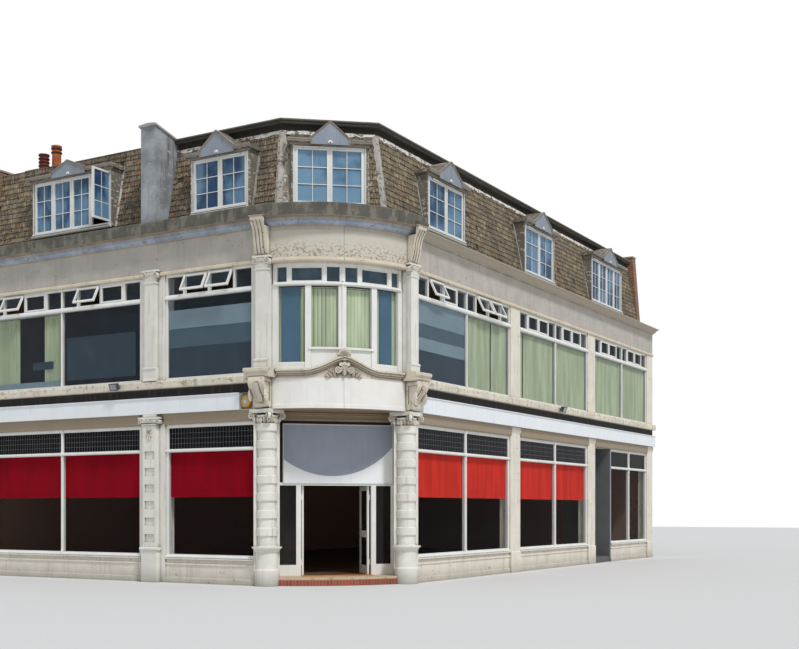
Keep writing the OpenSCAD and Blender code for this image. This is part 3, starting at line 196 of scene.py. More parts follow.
def coat(name, color, spread=0.1, stain_and_shade=GRIME_AND_SHADE, streaks=0.35, corners=0.6, flakes=None,
         flaking=0.0, bands=(), rough=0.75, bump=0.25, grain=90.0, base_dirt=0.0, reach=0.12,
         flake_zone=None):
    """Weathered paint or render; bands are (low, high, colour) by height above ground."""
    paint = Paint(name, color, rough)
    for low, high, other in bands:
        paint.lay(other, paint.within(paint.z, low, high))
    mottle = paint.part(paint.spots((1, 1, 1), 2.3, 8), 0.3, 0.7)
    paint.lay(paint.blend(mottle, (1 - spread,) * 3 + (1,), (1 + 0.25 * spread,) * 3 + (1,)),
              1.0, mode="MULTIPLY")
    if streaks:
        paint.lay(stain_and_shade, paint.part(paint.spots((1, 1, 0.08), 9, 4), 0.52, 0.78, streaks))
    if flaking:
        chips = paint.part(paint.spots((1, 1, 1.8), 7, 10, 0.62), 0.66 - 0.3 * flaking,
                           0.67 - 0.3 * flaking)
        if flake_zone:
            chips = paint.join(chips, paint.within(paint.z, *flake_zone))
        paint.lay(flakes or stain_and_shade, chips)
    if base_dirt:
        paint.lay(stain_and_shade, paint.part(paint.z, 0.45, 0.0, base_dirt))
    # Painted shade: the dirt colour darkens the faces that others shut in.
    if corners:
        paint.lay(stain_and_shade, paint.hollow_shade(reach, 0.85, 0.25, corners))
    paint.bump(paint.spots((1, 1, 1), grain, 4), bump)
    if flaking:
        paint.bump(chips, 0.6, invert=True)
    return paint


def dress(paint, *names):
    """Gives CAD nodes a material."""
    for name in names:
        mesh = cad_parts[name].data
        mesh.materials.clear()
        mesh.materials.append(paint.material)


masonry_white = coat("masonry_white", (236, 233, 224), streaks=0.3, base_dirt=0.45)
dress(masonry_white, "ground_piers_left", "corner_column_left", "corner_column_right",
      "entrance_returns", "upper_piers_left", "corner_pilasters")
dress(coat("masonry_cream", (234, 227, 213), streaks=0.25, base_dirt=0.4, flaking=0.04,
           flakes=(170, 158, 138)), "ground_piers_right", "upper_piers_right", "stall_risers")
GLOSS = dict(spread=0.06, streaks=0.12, corners=0.45, rough=0.45, bump=0.08, reach=0.05)
joinery = coat("joinery_white", (240, 240, 236), **GLOSS)
dress(joinery, "shopfront_left", "shopfront_right", "bow_frame", "upper_windows_left",
      "upper_windows_right", "dormer_windows")
dress(coat("screen_white", (240, 240, 236), bands=((3.832, 4.04, (150, 132, 106)),), **GLOSS),
      "entrance_frame")
apron_white = coat("apron_white", (240, 238, 233), 0.06, streaks=0.1,
                   bands=((3.9, 4.034, (150, 132, 108)),))
apron_white.lay((150, 140, 126), apron_white.curve(),
                apron_white.within(apron_white.along(), -0.005, 0.005, 0.002))
dress(apron_white, "corner_apron")
scroll_stone = coat("scroll_stone", (222, 212, 194), 0.12, streaks=0.4, corners=0.9,
                    flaking=0.1, flakes=(160, 146, 124), bands=((8.36, 8.7, (98, 90, 78)),))
dress(scroll_stone, "cornice_consoles", "apron_consoles", "bow_crest")
# Painted shade in the recesses of the capitals and of the carved consoles and crest.
for paint, zones in ((masonry_white, ((3.7, 3.97), (7.2, 7.47))), (scroll_stone, ((4.0, 8.7),))):
    hollow_shade = paint.hollow_shade(0.06, 0.92, 0.5, 0.85)
    for low, high in zones:
        paint.lay(CARVED_SHADE_AND_GRIME, paint.within(paint.z, low, high), hollow_shade)

# Frieze and cornice: run stucco with a lead-lined gutter. The wall of the gutter is
# weathered cement, dark with lichen, the cyma under it is paint that peels: blue-grey,
# partly painted sky-lit shade, on the left front and the corner, cream on the right front.
# The frieze stucco is darker than the other render, partly as painted shade of the cornice over it.
frieze = coat("frieze_stucco", (192, 186, 178), 0.12, streaks=0.2, corners=0.5, flaking=0.06,
              flakes=(168, 152, 128), bands=((7.34, 7.45, (220, 208, 186)),))
curve = frieze.curve()
frieze.lay((206, 200, 187), curve, frieze.within(frieze.z, 7.45, 8.05))
frieze.lay((160, 144, 122), curve,
           frieze.part(frieze.spots((1, 1, 1.4), 15, 8, 0.6), 0.53, 0.56),
           frieze.part(frieze.z, 7.95, 7.5), frieze.within(frieze.z, 7.455, 8.0))
frieze.lay((112, 98, 84), curve, frieze.within(frieze.along(), -0.006, 0.006, 0.002))
dress(frieze, "frieze")
CYMA = (8.17, 8.34)
cornice = coat("cornice_stone", (98, 95, 86), 0.3, stain_and_shade=(62, 62, 52), streaks=0.5,
               corners=0.4, flaking=0.2, flakes=(150, 140, 126), flake_zone=CYMA, grain=40,
               bump=0.5, bands=((8.0, 8.17, (200, 186, 162)), (8.17, 8.235, (166, 182, 206)),
                                (8.235, 8.3, (164, 162, 164)), (8.3, 8.335, (150, 136, 118))))
cornice.lay((132, 128, 116), cornice.within(cornice.z, 8.34, 8.7),
            cornice.part(cornice.spots((1, 1, 0.5), 4, 9, 0.7), 0.47, 0.6, 0.7))
# Cream on the right front's cyma; the blue-grey elsewhere is partly painted sky-lit shade.
cornice.lay((176, 166, 150), cornice.part(cornice.y, 0.03, 0.06),
            cornice.within(cornice.z, *CYMA))
dress(cornice, "cornice")

# Band between the storeys: a flaking sill, a recessed strip coloured near black below it,
# and the plain sheet fascia over boxed soffits of bare varnished board.
dress(coat("sill_paint", (228, 220, 203), 0.14, streaks=0.45, corners=0.5, flaking=0.24,
           flakes=(176, 158, 130), flake_zone=(4.66, 4.9), bands=((4.43, 4.638, (30, 27, 26)),),
           bump=0.4), "sill_bands")
dress(coat("fascia_sheet", (242, 246, 250), 0.04, streaks=0.1, corners=0.3, rough=0.5,
           bands=((3.6, 4.034, (158, 142, 120)),), bump=0.1), "fascia")
dress(coat("floor_soffit", (150, 130, 104), 0.2, streaks=0.2), "first_floor", "attic_floor")

# Roof slopes: flat clay tiles hung in broken bond on battens, brown with lichen, some
# slipped. They stop at the dormers, at the upstand and at the mitred hips.
CORNER = 2.77
TILE_W, GAUGE, LAP = 0.165, 0.146, 0.012
TILE_FOOT, TILE_LIFT, TILE_CUT = 0.024, 0.008, (0.7, 1.3)
SLOPE_FOOT, SLOPE_TOP = (0.45, 8.45), (0.88, 10.65)
HIP_LEFT, HIP_RIGHT = 2.41, 2.05
LEFT_END, RIGHT_END, PARTY = 12.325, 20.38, 0.33
FACET = math.atan2(HIP_RIGHT - SLOPE_FOOT[0], HIP_LEFT - SLOPE_FOOT[0])
FACET_L = math.hypot(HIP_RIGHT - SLOPE_FOOT[0], HIP_LEFT - SLOPE_FOOT[0])
SLOPE_L = math.hypot(SLOPE_TOP[0] - SLOPE_FOOT[0], SLOPE_TOP[1] - SLOPE_FOOT[1])
RISE = (SLOPE_TOP[1] - SLOPE_FOOT[1]) / SLOPE_L
LEAN = (SLOPE_TOP[0] - SLOPE_FOOT[0]) / SLOPE_L
TURN_LEFT, TURN_RIGHT = math.tan(FACET / 2), math.tan((math.pi / 2 - FACET) / 2)
MITRE_LEFT, MITRE_RIGHT = LEAN * TURN_LEFT, LEAN * TURN_RIGHT
UPSTAND = (5.7325, 6.2025)
# Heights are above the ground, and gable is half of the gable's width
Dormer = namedtuple("Dormer", "centre width sill head apex lights gable")
WIDE_DORMER = Dormer(8.925, 2.85, 8.94, 10.32, 10.74, 4, 0.6)
CORNER_DORMER = Dormer(FACET_L / 2 - 0.055, 1.78, 8.78, 10.15, 10.71, 2, 0.46)


# Along a front l runs away from the corner and out stands proud of the wall.
def left(l, out, z):
    return (CORNER - l, -CORNER - out, z)


def right(l, out, z):
    return (CORNER + out, -CORNER + l, z)


def facet(x, out, z):
    """On the corner facet: x from the left hip's foot, out from the facet's wall line."""
    reach = out + SLOPE_FOOT[0]
    return (CORNER - HIP_LEFT + x * math.cos(FACET) + reach * math.sin(FACET),
            -CORNER + SLOPE_FOOT[0] + x * math.sin(FACET) - reach * math.cos(FACET), z)


def on_slope(at):
    """A place on a roof slope: length, height off the slope, distance up it."""
    return lambda l, off, s: at(l, -SLOPE_FOOT[0] - LEAN * s + RISE * off,
                                SLOPE_FOOT[1] + RISE * s + LEAN * off)


class Shape:
    """Closed shells gathered into one mesh; each shell carries a material number."""

    def __init__(self):
        self.points, self.faces, self.tags = [], [], []

    def loops(self, rings, tag=0):
        """Skins rings of equal length one after the other, capped at both ends."""
        start, size, last = len(self.points), len(rings[0]), len(rings) - 1
        self.points += [point for ring in rings for point in ring]
        faces = [[i * size + k, i * size + (k + 1) % size, (i + 1) * size + (k + 1) % size,
                  (i + 1) * size + k] for i in range(last) for k in range(size)]
        faces += [list(range(size)), [last * size + k for k in reversed(range(size))]]
        self.faces += [[start + i for i in face] for face in faces]
        self.tags += [tag] * len(faces)

    def bar(self, at, x, y, z, tag=0):
        """A square-edged board between two corners of a place."""
        self.loops([[at(u, v, w) for u, v in ((x[0], y[0]), (x[1], y[0]), (x[1], y[1]),
                                              (x[0], y[1]))] for w in z], tag)

    def surround(self, at, x, y, z, wide, tag=0, rails=None):
        """Four bars round an opening, the rails between the uprights."""
        low, high = rails or (wide, wide)
        for u in ((x[0], x[0] + wide), (x[1] - wide, x[1])):
            self.bar(at, u, y, z, tag)
        for w in ((z[0], z[0] + low), (z[1] - high, z[1])):
            self.bar(at, (x[0] + wide, x[1] - wide), y, w, tag)

    def moulding(self, at, profile, x, tag=0, foot=0.0):
        """A profile of (out, height over a foot) run between two lengths."""
        self.loops([[at(u, out, foot + z) for out, z in profile] for u in x], tag)

    def turned(self, at, profile, x=0, y=0, sides=16, tag=0):
        """A profile of (radius, height) turned on an upright axis."""
        self.loops([[at(x + r * math.cos(2 * math.pi * k / sides),
                        y + r * math.sin(2 * math.pi * k / sides), z) for k in range(sides)]
                    for r, z in profile], tag)

    def curved(self, profile, angles, steps):
        """A profile of (radius, height) run round the corner."""
        turns = [math.radians(angles[0] + (angles[1] - angles[0]) * i / steps)
                 for i in range(steps + 1)]
        self.loops([[(r * math.sin(a), -r * math.cos(a), z) for r, z in profile]
                    for a in turns])

    def strip(self, rails, tag=0):
        """A closed strip between rails of points, each a top line and an under line."""
        self.loops([list(top) + list(reversed(under)) for top, under in rails], tag)

    def piece(self, name, slot, *paints, body="building", replaces=()):
        mesh = bpy.data.meshes.new(name)
        mesh.from_pydata(self.points, [], self.faces)
        outward = bmesh.new()
        outward.from_mesh(mesh)
        bmesh.ops.recalc_face_normals(outward, faces=outward.faces)
        outward.to_mesh(mesh)
        outward.free()
        for paint in paints:
            mesh.materials.append(paint.material)
        mesh.polygons.foreach_set("material_index", self.tags)
        made = bpy.data.objects.new(name, mesh)
        bpy.context.scene.collection.objects.link(made)
        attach(made, body)
        if replaces:
            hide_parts(*replaces)
        return made


# Each slope as its place, the line of its two ends up the slope, dormers and gaps
SLOPES = (
    (left, lambda s: HIP_LEFT + MITRE_LEFT * s, lambda s: LEFT_END - PARTY,
     (Dormer(4.07, 1.78, 8.85, 10.13, 10.71, 2, 0.52), WIDE_DORMER), (UPSTAND,)),
    (facet, lambda s: MITRE_LEFT * s, lambda s: FACET_L - MITRE_RIGHT * s,
     (CORNER_DORMER,), ((-0.2, CORNER_DORMER.centre - 0.9),)),
    (right, lambda s: HIP_RIGHT + MITRE_RIGHT * s, lambda s: RIGHT_END - PARTY,
     (Dormer(5.03, 2.07, 8.73, 10.05, 10.61, 2, 0.62),
      Dormer(10.98, 2.25, 8.68, 10.08, 10.63, 2, 0.64),
      Dormer(16.75, 3.0, 8.67, 10.13, 10.67, 4, 0.64)), ()),
)


def tile_clay(name, color):
    """Sanded clay with grooves, lichen and soot."""
    paint = Paint(name, [0.6 * c for c in color], 0.85)
    grooves = paint.spots((1, 1, 0.1), 36, 4)
    paint.lay([1.12 * c for c in color], paint.part(grooves, 0.4, 0.6))
    paint.lay((160, 150, 130),
              paint.part(paint.spots((1, 1, 0.5), 6, 8, 0.65), 0.56, 0.68, 0.5))
    paint.lay((62, 56, 47), paint.part(paint.spots((1, 1, 0.3), 1.4, 5), 0.5, 0.7, 0.45))
    paint.bump(grooves, 0.7, 0.006)
    return paint


def tile_row(up, start, end, s, a, b):
    """One course of tiles over a free span of a slope."""
    cuts = [a]
    while cuts[-1] < b - TILE_CUT[1] * TILE_W:
        cuts.append(cuts[-1] + rng.uniform(*TILE_CUT) * TILE_W)
    for x0, x1 in zip(cuts, cuts[1:] + [b]):
        if rng.random() < 0.012:
            continue
        lift = rng.uniform(0, TILE_LIFT)
        slip = rng.uniform(-0.009, 0.006) - (0.03 if rng.random() < 0.02 else 0)
        tag = rng.choices((0, 1, 2, 3), (6, 5, 3, 0.5))[0]
        ends = []
        for t, high in ((max(0.002, s + slip), TILE_FOOT + lift),
                        (min(s + GAUGE + LAP, SLOPE_L - 0.02), 0.007)):
            u0, u1 = max(x0 + 0.002, start(t)), min(x1 - 0.002, end(t))
            if u1 - u0 > 0.004:
                ends.append([up(u0, 0.001, t), up(u1, 0.001, t), up(u1, high, t), up(u0, high, t)])
        if len(ends) == 2:
            tiles.loops(ends, tag)


rng = random.Random(11)
tiles = Shape()
for at, start, end, dormers, gaps in SLOPES:
    for row in range(int((SLOPE_L - 0.05) / GAUGE)):
        s = 0.01 + row * GAUGE
        z = SLOPE_FOOT[1] + RISE * (s + GAUGE / 2)
        blocked = sorted([(d.centre - d.width / 2 - 0.01, d.centre + d.width / 2 + 0.01)
                          for d in dormers if d.sill - 0.06 < z < d.head + 0.1] + list(gaps))
        x = min(start(s), start(s + GAUGE))
        for a, b in blocked + [(end(s), 0)]:
            if a - x > 0.03:
                tile_row(on_slope(at), start, end, s, x, a)
            x = max(x, b)
brown, grey = tile_clay("tile_brown", (134, 120, 99)), tile_clay("tile_grey", (120, 110, 94))
tiles.piece("roof_tiles", "roof_tile", brown, grey,
            tile_clay("tile_tan", (152, 136, 110)), tile_clay("tile_rust", (140, 110, 84)))
dress(coat("roof_battens", (70, 62, 52), 0.25, streaks=0.3), "mansard_roof")

# Past the upstand the clay tiles run on over the roof's edge in two short courses, nailed
# to its boards, under a low capping of the same clay.
EDGE_COURSES, EDGE_TALL = (10.63, 10.74), 0.118
edge_tiles = Shape()
for z0 in EDGE_COURSES:
    l = UPSTAND[1]
    while l < LEFT_END - PARTY - 0.05:
        wide = min(rng.uniform(*TILE_CUT) * TILE_W, LEFT_END - PARTY - l)
        lift = rng.uniform(0, TILE_LIFT)
        edge_tiles.loops([[left(l + u, thick - SLOPE_TOP[0], z) for u, thick in
                           ((0.002, 0), (wide - 0.002, 0), (wide - 0.002, t), (0.002, t))]
                          for z, t in ((z0, TILE_FOOT + lift), (z0 + EDGE_TALL, 0.01))],
                         rng.choice((0, 1)))
        l += wide
edge_tiles.moulding(left, ((-0.92, 10.851), (-0.865, 10.851), (-0.855, 10.868),
                           (-0.87, 10.885), (-0.915, 10.89)), (UPSTAND[1], LEFT_END - PARTY), 1)
edge_tiles.piece("edge_tiles", "roof_tile", brown, grey)

# Hips: old lead dressed over the mitred tiles and nailed, painted white more than once and
# torn at its edges. Each is one long strip with a ragged outline.
old_lead = coat("old_lead", (186, 180, 170), 0.24, stain_and_shade=(88, 80, 70), streaks=0.8,
                corners=0.4, flaking=0.3, flakes=(122, 112, 98), bump=0.5, grain=30)
white_lead = coat("white_lead", (236, 233, 227), 0.18, stain_and_shade=(110, 101, 88), streaks=0.5,
                  corners=0.4, flaking=0.36, flakes=(130, 118, 100), bump=0.5, grain=30)
HIP_WIDE, HIP_TOP, HIP_UNDER, HIP_ROLL = 0.085, 0.034, 0.003, 0.02
hips = Shape()
for near, far, foot, way, mitre in ((left, facet, (HIP_LEFT, 0), 1, MITRE_LEFT),
                                    (facet, right, (FACET_L, HIP_RIGHT), -1, MITRE_RIGHT)):
    near, far = on_slope(near), on_slope(far)
    rails = []
    for i in range(31):
        s = 0.01 + (SLOPE_L - 0.09) * i / 30
        wide = [HIP_WIDE + rng.uniform(-0.02, 0.018) for _ in range(2)]
        a, b = foot[0] + way * mitre * s, foot[1] + mitre * s
        rails.append([[near(a + way * wide[0], off, s), near(a + way * 0.04, off + 0.6 * roll, s),
                       near(a + way * 0.002, off + roll, s), far(b + 0.04, off + 0.6 * roll, s),
                       far(b + wide[1], off, s)]
                      for off, roll in ((HIP_TOP, HIP_ROLL), (HIP_UNDER, 0))])
    hips.strip(rails)
hips.piece("hip_leads", "lead", old_lead)

# Between the left hip and the corner dormer the slope is closed with two old boards under
# sheet lead, split and peeling.
boards = Shape()
up = on_slope(facet)
for a, b in ((0.0, 0.45), (0.47, 1.0)):
    rails = []
    for i in range(25):
        s = 0.02 + (SLOPE_L - 0.24) * i / 24
        x0, x1 = MITRE_LEFT * s + 0.07, CORNER_DORMER.centre - 0.895
        u = [x0 + (x1 - x0) * a, x0 + (x1 - x0) * b]
        u[0 if a else 1] += rng.uniform(-0.006, 0.006)
        rise = 0.022 + rng.uniform(-0.004, 0.004)
        mid = (u[0] + u[1]) / 2
        rails.append([[up(u[0], rise, s), up(mid, rise + 0.006, s), up(u[1], rise, s)],
                      [up(x, 0.002, s) for x in (u[0], mid, u[1])]])
    boards.strip(rails)
boards.piece("hip_boards", "lead",
             coat("peeling_board", (158, 149, 134), 0.25, stain_and_shade=(84, 76, 66), streaks=0.8,
                  corners=0.5, flaking=0.4, flakes=(205, 200, 190), bump=0.6, grain=30))

# Head flashing and soakers: strips of lead nailed along the top of each slope and beside the
# dormers, dressed down by hand and mostly painted white.
HEAD_LOW, HEAD_HIGH, SOAKER = 0.13, 0.05, 0.06
flashing = Shape()
for at, start, end, dormers, gaps in SLOPES:
    up = on_slope(at)
    a, b = start(SLOPE_L), UPSTAND[0] if at is left else end(SLOPE_L)
    steps = max(4, int((b - a) / 0.11))
    rails = []
    for i in range(steps + 1):
        l = a + (b - a) * i / steps
        low = SLOPE_L - HEAD_LOW + rng.uniform(-0.03, 0.03)
        high = SLOPE_L - HEAD_HIGH + rng.uniform(-0.01, 0.01)
        rails.append([[up(l, 0.03 + rng.uniform(0.0, 0.012), low), up(l, 0.036, high)],
                      [up(l, 0.004, low), up(l, 0.004, high)]])
    flashing.strip(rails, 1)
    for d in dormers:
        s0, s1 = ((z - SLOPE_FOOT[1]) / RISE for z in (d.sill - 0.05, d.head + 0.05))
        for side in (-1, 1):
            edge = d.centre + side * d.width / 2
            rails = []
            for i in range(15):
                s = s0 + (s1 - s0) * i / 14
                wide = SOAKER + rng.uniform(-0.014, 0.014)
                near, far = sorted((edge, edge + side * wide))
                rails.append([[up(near, 0.032, s), up(far, 0.03, s)],
                              [up(near, 0.003, s), up(far, 0.003, s)]])
            flashing.strip(rails, 1 if d is WIDE_DORMER else 0)
flashing.piece("flashings", "lead", old_lead, white_lead)

# Flat roof: felt on boards, with a weathered edge board that follows the two fronts and the
# facet, and lapped felt joints. The slab's face under the edge is painted dark, the painted
# shade of the eaves space.
DECK = 10.851
LAP_FIRST, LAP_STEP, LAP_W, LAP_THICK = 0.9, 0.95, 0.09, 0.007
FELT = dict(spread=0.2, streaks=0, grain=200, bump=0.6)


def eaves_line(set_back, z):
    """The corners of a line that follows all three slopes at one setback."""
    d = set_back - SLOPE_FOOT[0]
    return [left(UPSTAND[0], -set_back, z), left(HIP_LEFT + d * TURN_LEFT, -set_back, z),
            right(HIP_RIGHT + d * TURN_RIGHT, -set_back, z),
            right(RIGHT_END - PARTY, -set_back, z)]


# Painted shade: the slab's face between 10.6 and 10.752 m is near black.
dress(coat("roof_felt", (104, 102, 96), corners=0.2, stain_and_shade=(60, 57, 52),
           bands=((10.6, 10.752, (52, 45, 38)),), **FELT), "flat_roof")
edge = Shape()
edge.loops(list(zip(*(eaves_line(*corner) for corner in
                      ((0.752, 10.765), (0.738, 10.765), (0.738, 10.805), (0.722, 10.812),
                       (0.718, 10.862), (0.79, 10.866), (0.79, DECK), (0.752, DECK))))))
# The edge board's face is dark under a lighter top strip, as painted shade below its lit top.
edge.piece("roof_edge_trim", "roof_deck",
           coat("edge_board", (64, 57, 50), 0.2, streaks=0.3, corners=0.3, flaking=0.2,
                flakes=(92, 84, 74), bands=((10.838, 10.9, (134, 127, 116)),)))
laps = Shape()
for k in range(11):
    x = CORNER - LEFT_END + LAP_FIRST + k * LAP_STEP
    laps.bar(lambda u, v, w: (u, v, w), (x, x + LAP_W),
             (max(1.3, 1.3 + 1.1 * x) - CORNER, RIGHT_END - CORNER - 0.6),
             (DECK, DECK + LAP_THICK))
laps.piece("felt_laps", "roof_deck", coat("felt_lap", (88, 86, 82), corners=0.0, **FELT))

# Dormers: timber boxes clad in lead, white boards round the windows, brown moulded eaves
# and a small gable with a painted tympanum and a shell knob under it.
DORMER_SET = 0.42
SASH, STILE, BAR, CHEEK = 0.055, 0.036, 0.016, 0.06
EAVES_H, EAVES_END, EAVES_OUT = 0.09, 0.07, 0.11
RAKE, VENT_X, VENT_L = 0.042, 0.28, 0.36

dress(coat("dormer_lead", (124, 117, 106), 0.18, stain_and_shade=(66, 58, 50), streaks=0.6, corners=0.5,
           flaking=0.3, flakes=(186, 182, 172)), "dormers")


def ring(at, x, out, z, r, sides):
    """A circle that faces the street."""
    return [at(x + r * math.cos(2 * math.pi * k / sides), out,
               z + r * math.sin(2 * math.pi * k / sides)) for k in range(sides)]


def dormer_trim(at, d):
    """Corner boards, eaves moulding, raking mouldings, tympanum and knob of one dormer."""
    c, half, gable, apex = d.centre, d.width / 2, d.gable, d.apex
    face, z = -DORMER_SET, d.head + 0.05
    front, foot = face + EAVES_OUT, z + EAVES_H + 0.02
    for side in (-1, 1):
        x = sorted((c + side * (half - CHEEK - 0.002), c + side * (half - CHEEK + 0.018)))
        trims.bar(at, x, (face, face + 0.012), (d.sill - 0.004, z))
    trims.moulding(at, ((face, -0.07), (face + 0.06, -0.06), (face + 0.075, -0.03),
                        (face + 0.03, -0.004), (face, -0.004)),
                   (c - half + 0.03, c + half - 0.03), 0, d.sill)
    for x in ((c - half - EAVES_END - 0.02, c - gable), (c + gable, c + half + EAVES_END + 0.02)):
        trims.moulding(at, ((front, 0.01), (front + 0.014, 0.01), (front + 0.02, 0.035),
                            (front + 0.034, 0.055), (front + 0.038, EAVES_H),
                            (front, EAVES_H + 0.004)), x, 1, z)
    trims.bar(at, (c - half - 0.04, c + half + 0.04), (face, face + 0.05), (d.head + 0.004, z), 1)
    trims.loops([[at(c + x, y, v) for x, v in
                  ((-gable, z - 0.04), (gable, z - 0.04), (gable, foot - 0.02),
                   (0, apex - 0.03), (-gable, foot - 0.02))] for y in (front, front + 0.012)], 2)
    slope = math.hypot(gable, apex - foot)
    nx, nz = (apex - foot) / slope, gable / slope
    for side in (-1, 1):
        ends = ((side * (gable + 0.05), foot - 0.05 * (apex - foot) / gable, side * nx, nz),
                (0, apex, 0, 1 / nz))
        trims.loops([[at(c + x + dx * lift, front + y, v + dz * lift) for y, lift in
                      ((-0.02, 0.003), (0.045, 0.003), (0.05, 0), (0.03, -0.6 * RAKE),
                       (0.012, -RAKE), (-0.02, -RAKE))] for x, v, dx, dz in ends], 1)
        trims.moulding(at, ((front, z - 0.045), (front + 0.022, z - 0.045),
                            (front + 0.03, foot - 0.02), (front, foot - 0.02)),
                       sorted((c + side * gable, c + side * (gable - 0.03))), 1)
    for k in range(5):
        a = math.radians(-72 + 36 * k)
        x, v = c + 0.035 * math.sin(a), z - 0.005 + 0.04 * math.cos(a)
        trims.loops([ring(at, x, front + y, v, r, 10)
                     for r, y in ((0.026, 0.01), (0.024, 0.03), (0.012, 0.042))])


def dormer_sashes(at, d):
    """Casement frames and glazing bars, two panes wide and three high in each light."""
    pitch = (d.width - 2 * CHEEK - SASH) / d.lights
    y, z = (-DORMER_SET - 0.05, -DORMER_SET - 0.008), (d.sill + SASH, d.head - SASH)
    for i in range(1 if d is WIDE_DORMER else 0, d.lights):
        x = d.centre - d.width / 2 + CHEEK + i * pitch
        x = (x + SASH, x + pitch)
        sashes.surround(at, x, y, z, STILE)
        glazing(at, (x[0] + STILE, x[1] - STILE), (y[0] + 0.012, y[1] - 0.012),
                (z[0] + STILE, z[1] - STILE))


def glazing(at, x, y, z):
    """Bars that divide a leaf into two by three panes, one upright and two across."""
    mid = (x[0] + x[1]) / 2
    sashes.bar(at, (mid - BAR / 2, mid + BAR / 2), y, z)
    for k in (1, 2):
        v = z[0] + (z[1] - z[0]) * k / 3
        sashes.bar(at, x, (y[0] + 0.001, y[1] - 0.001), (v - BAR / 2, v + BAR / 2))


trims, sashes = Shape(), Shape()
for at, start, end, dormers, gaps in SLOPES:
    for d in dormers:
        dormer_trim(at, d)
        dormer_sashes(at, d)
        vent = d.centre - d.width / 2 + VENT_X
        sashes.moulding(at, [(-DORMER_SET - y, -z) for y, z in
                             ((0.01, 0.05), (-0.015, 0.05), (-0.022, 0.02), (0.01, 0.012))],
                        (vent, vent + VENT_L), 0, d.head)
OPEN_X = WIDE_DORMER.centre - WIDE_DORMER.width / 2 + CHEEK + SASH - 0.045
OPEN_W = (WIDE_DORMER.width - 2 * CHEEK - 5 * SASH) / 4 + 0.005
OPEN_Z = (WIDE_DORMER.sill + 0.11, WIDE_DORMER.head - 0.11)


def swung(x, y, z):
    """The open casement: x out of the wall along the leaf, y across its thickness."""
    return left(OPEN_X + y, -DORMER_SET - 0.021 + x, z)


glazing(swung, (0.05, OPEN_W - 0.05), (0.014, 0.031), OPEN_Z)
trims.piece("dormer_trim", "white_joinery", joinery,
            coat("eaves_boards", (156, 147, 137), 0.15, stain_and_shade=(96, 86, 72), streaks=0.4,
                 corners=0.5, flaking=0.12, flakes=(128, 114, 94)),
            coat("tympanum_blue", (148, 157, 168), 0.12, streaks=0.3, corners=0.4))
sashes.piece("dormer_sashes", "white_joinery", joinery)

# Glass: ordinary float, its dark tint painted shade of the unlit rooms behind it; the dormer
# panes are bluer and dusty, with painted sky reflection. Slatted blinds hang behind the
# corner dormer.
FLOAT_ROUGH = 0.06


def pane_glass(name, color, cover, above=None, top_cover=0.9, sky=None, shine=0.5):
    """Tinted glass; over one height it is nearly opaque, painted shade of the dark room behind."""
    paint = Paint(name, color, FLOAT_ROUGH, shine)
    dust_and_reflection = paint.spots((1, 1, 0.6), 1.2 if sky else 3, 6)
    # Given a sky colour, the patches are painted sky reflection; without one they are dusty
    # patches.
    paint.lay(sky or [1.25 * c + 8 for c in color],
              paint.part(dust_and_reflection, 0.4, 0.6 if sky else 0.75))
    paint.shader["Alpha"].default_value = cover
    if above:
        over = paint.part(paint.z, above - 0.01, above + 0.01)
        shade = paint.add("ShaderNodeMapRange",
                          {"Value": over, "To Min": cover, "To Max": top_cover})
        paint.tree.links.new(shade["Result"], paint.shader["Alpha"])
    return paint


# Painted sky reflection on the dormer panes, brightest on the corner dormer.
dormer_glass = pane_glass("glass_dormer", (44, 82, 122), 0.74, sky=(122, 162, 194))
dormer_glass.lay((138, 178, 208), dormer_glass.curve(),
                 dormer_glass.part(dormer_glass.spots((1, 1, 0.6), 2, 6), 0.15, 0.5, 0.85))
upper_glass = pane_glass("glass_upper", (56, 76, 90), 0.14)
dress(dormer_glass, "dormer_glass")
dress(upper_glass, "upper_glass")
# Painted shade of the dark rooms: the bow's head, the shop transoms and the entrance glass are
# nearly opaque.
dress(pane_glass("glass_bow", (70, 92, 106), 0.07, above=6.9, top_cover=0.6), "bow_glass")
dress(pane_glass("glass_shop", (11, 10, 11), 0.1, above=3.17, shine=0.12), "shop_glass")
dress(pane_glass("glass_entrance", (30, 25, 24), 0.7, shine=0.3), "entrance_glass")
pane = Shape()
pane.bar(swung, (0.05, OPEN_W - 0.05), (0.02, 0.026), OPEN_Z)
pane.piece("casement_pane", "window_glass", dormer_glass)
SLATS, SLAT_PITCH = 26, 0.026
slats = Shape()
d = CORNER_DORMER
for k in range(SLATS):
    slats.moulding(facet, ((-0.545, 0), (-0.52, 0.012), (-0.52, 0.014), (-0.545, 0.002)),
                   (d.centre - d.width / 2 + 0.15, d.centre + d.width / 2 - 0.15), 0,
                   d.sill + 0.1 + k * SLAT_PITCH)
slats.piece("dormer_slat_blind", "pale_panel",
            coat("slat_white", (226, 232, 236), 0.05, streaks=0, corners=0, rough=0.5))

# Upstand and chimney: a rendered wall end with a lead-capped coping, a brick stack with
# clay pots, each pot with burnt bands, and stone copings on the brick party walls.
WEATHERED = dict(spread=0.15, streaks=0.4, corners=0.2)
POTS = ((2.43, 11.9, False), (2.905, 12.27, True))
POT_X, STACK_Z = CORNER - LEFT_END + 0.25, 11.35

dress(coat("upstand_render", (166, 171, 176), 0.42, stain_and_shade=(88, 88, 90), streaks=0.8,
           corners=0.3, flaking=0.14, flakes=(184, 186, 188), grain=30, bump=0.6), "roof_upstand")
coping = Shape()
coping.loops([[left(l, out, z + rise) for l, rise in
               ((UPSTAND[0] - 0.035, 0), (UPSTAND[1] + 0.035, 0), (UPSTAND[1] + 0.035, 0.045),
                (UPSTAND[0] + 0.235, 0.07), (UPSTAND[0] - 0.035, 0.045))]
              for out, z in ((0.0, 11.035), (-1.13, 10.77))])
coping.piece("upstand_coping", "grey_render", coat("coping_lead", (176, 176, 170), **WEATHERED))


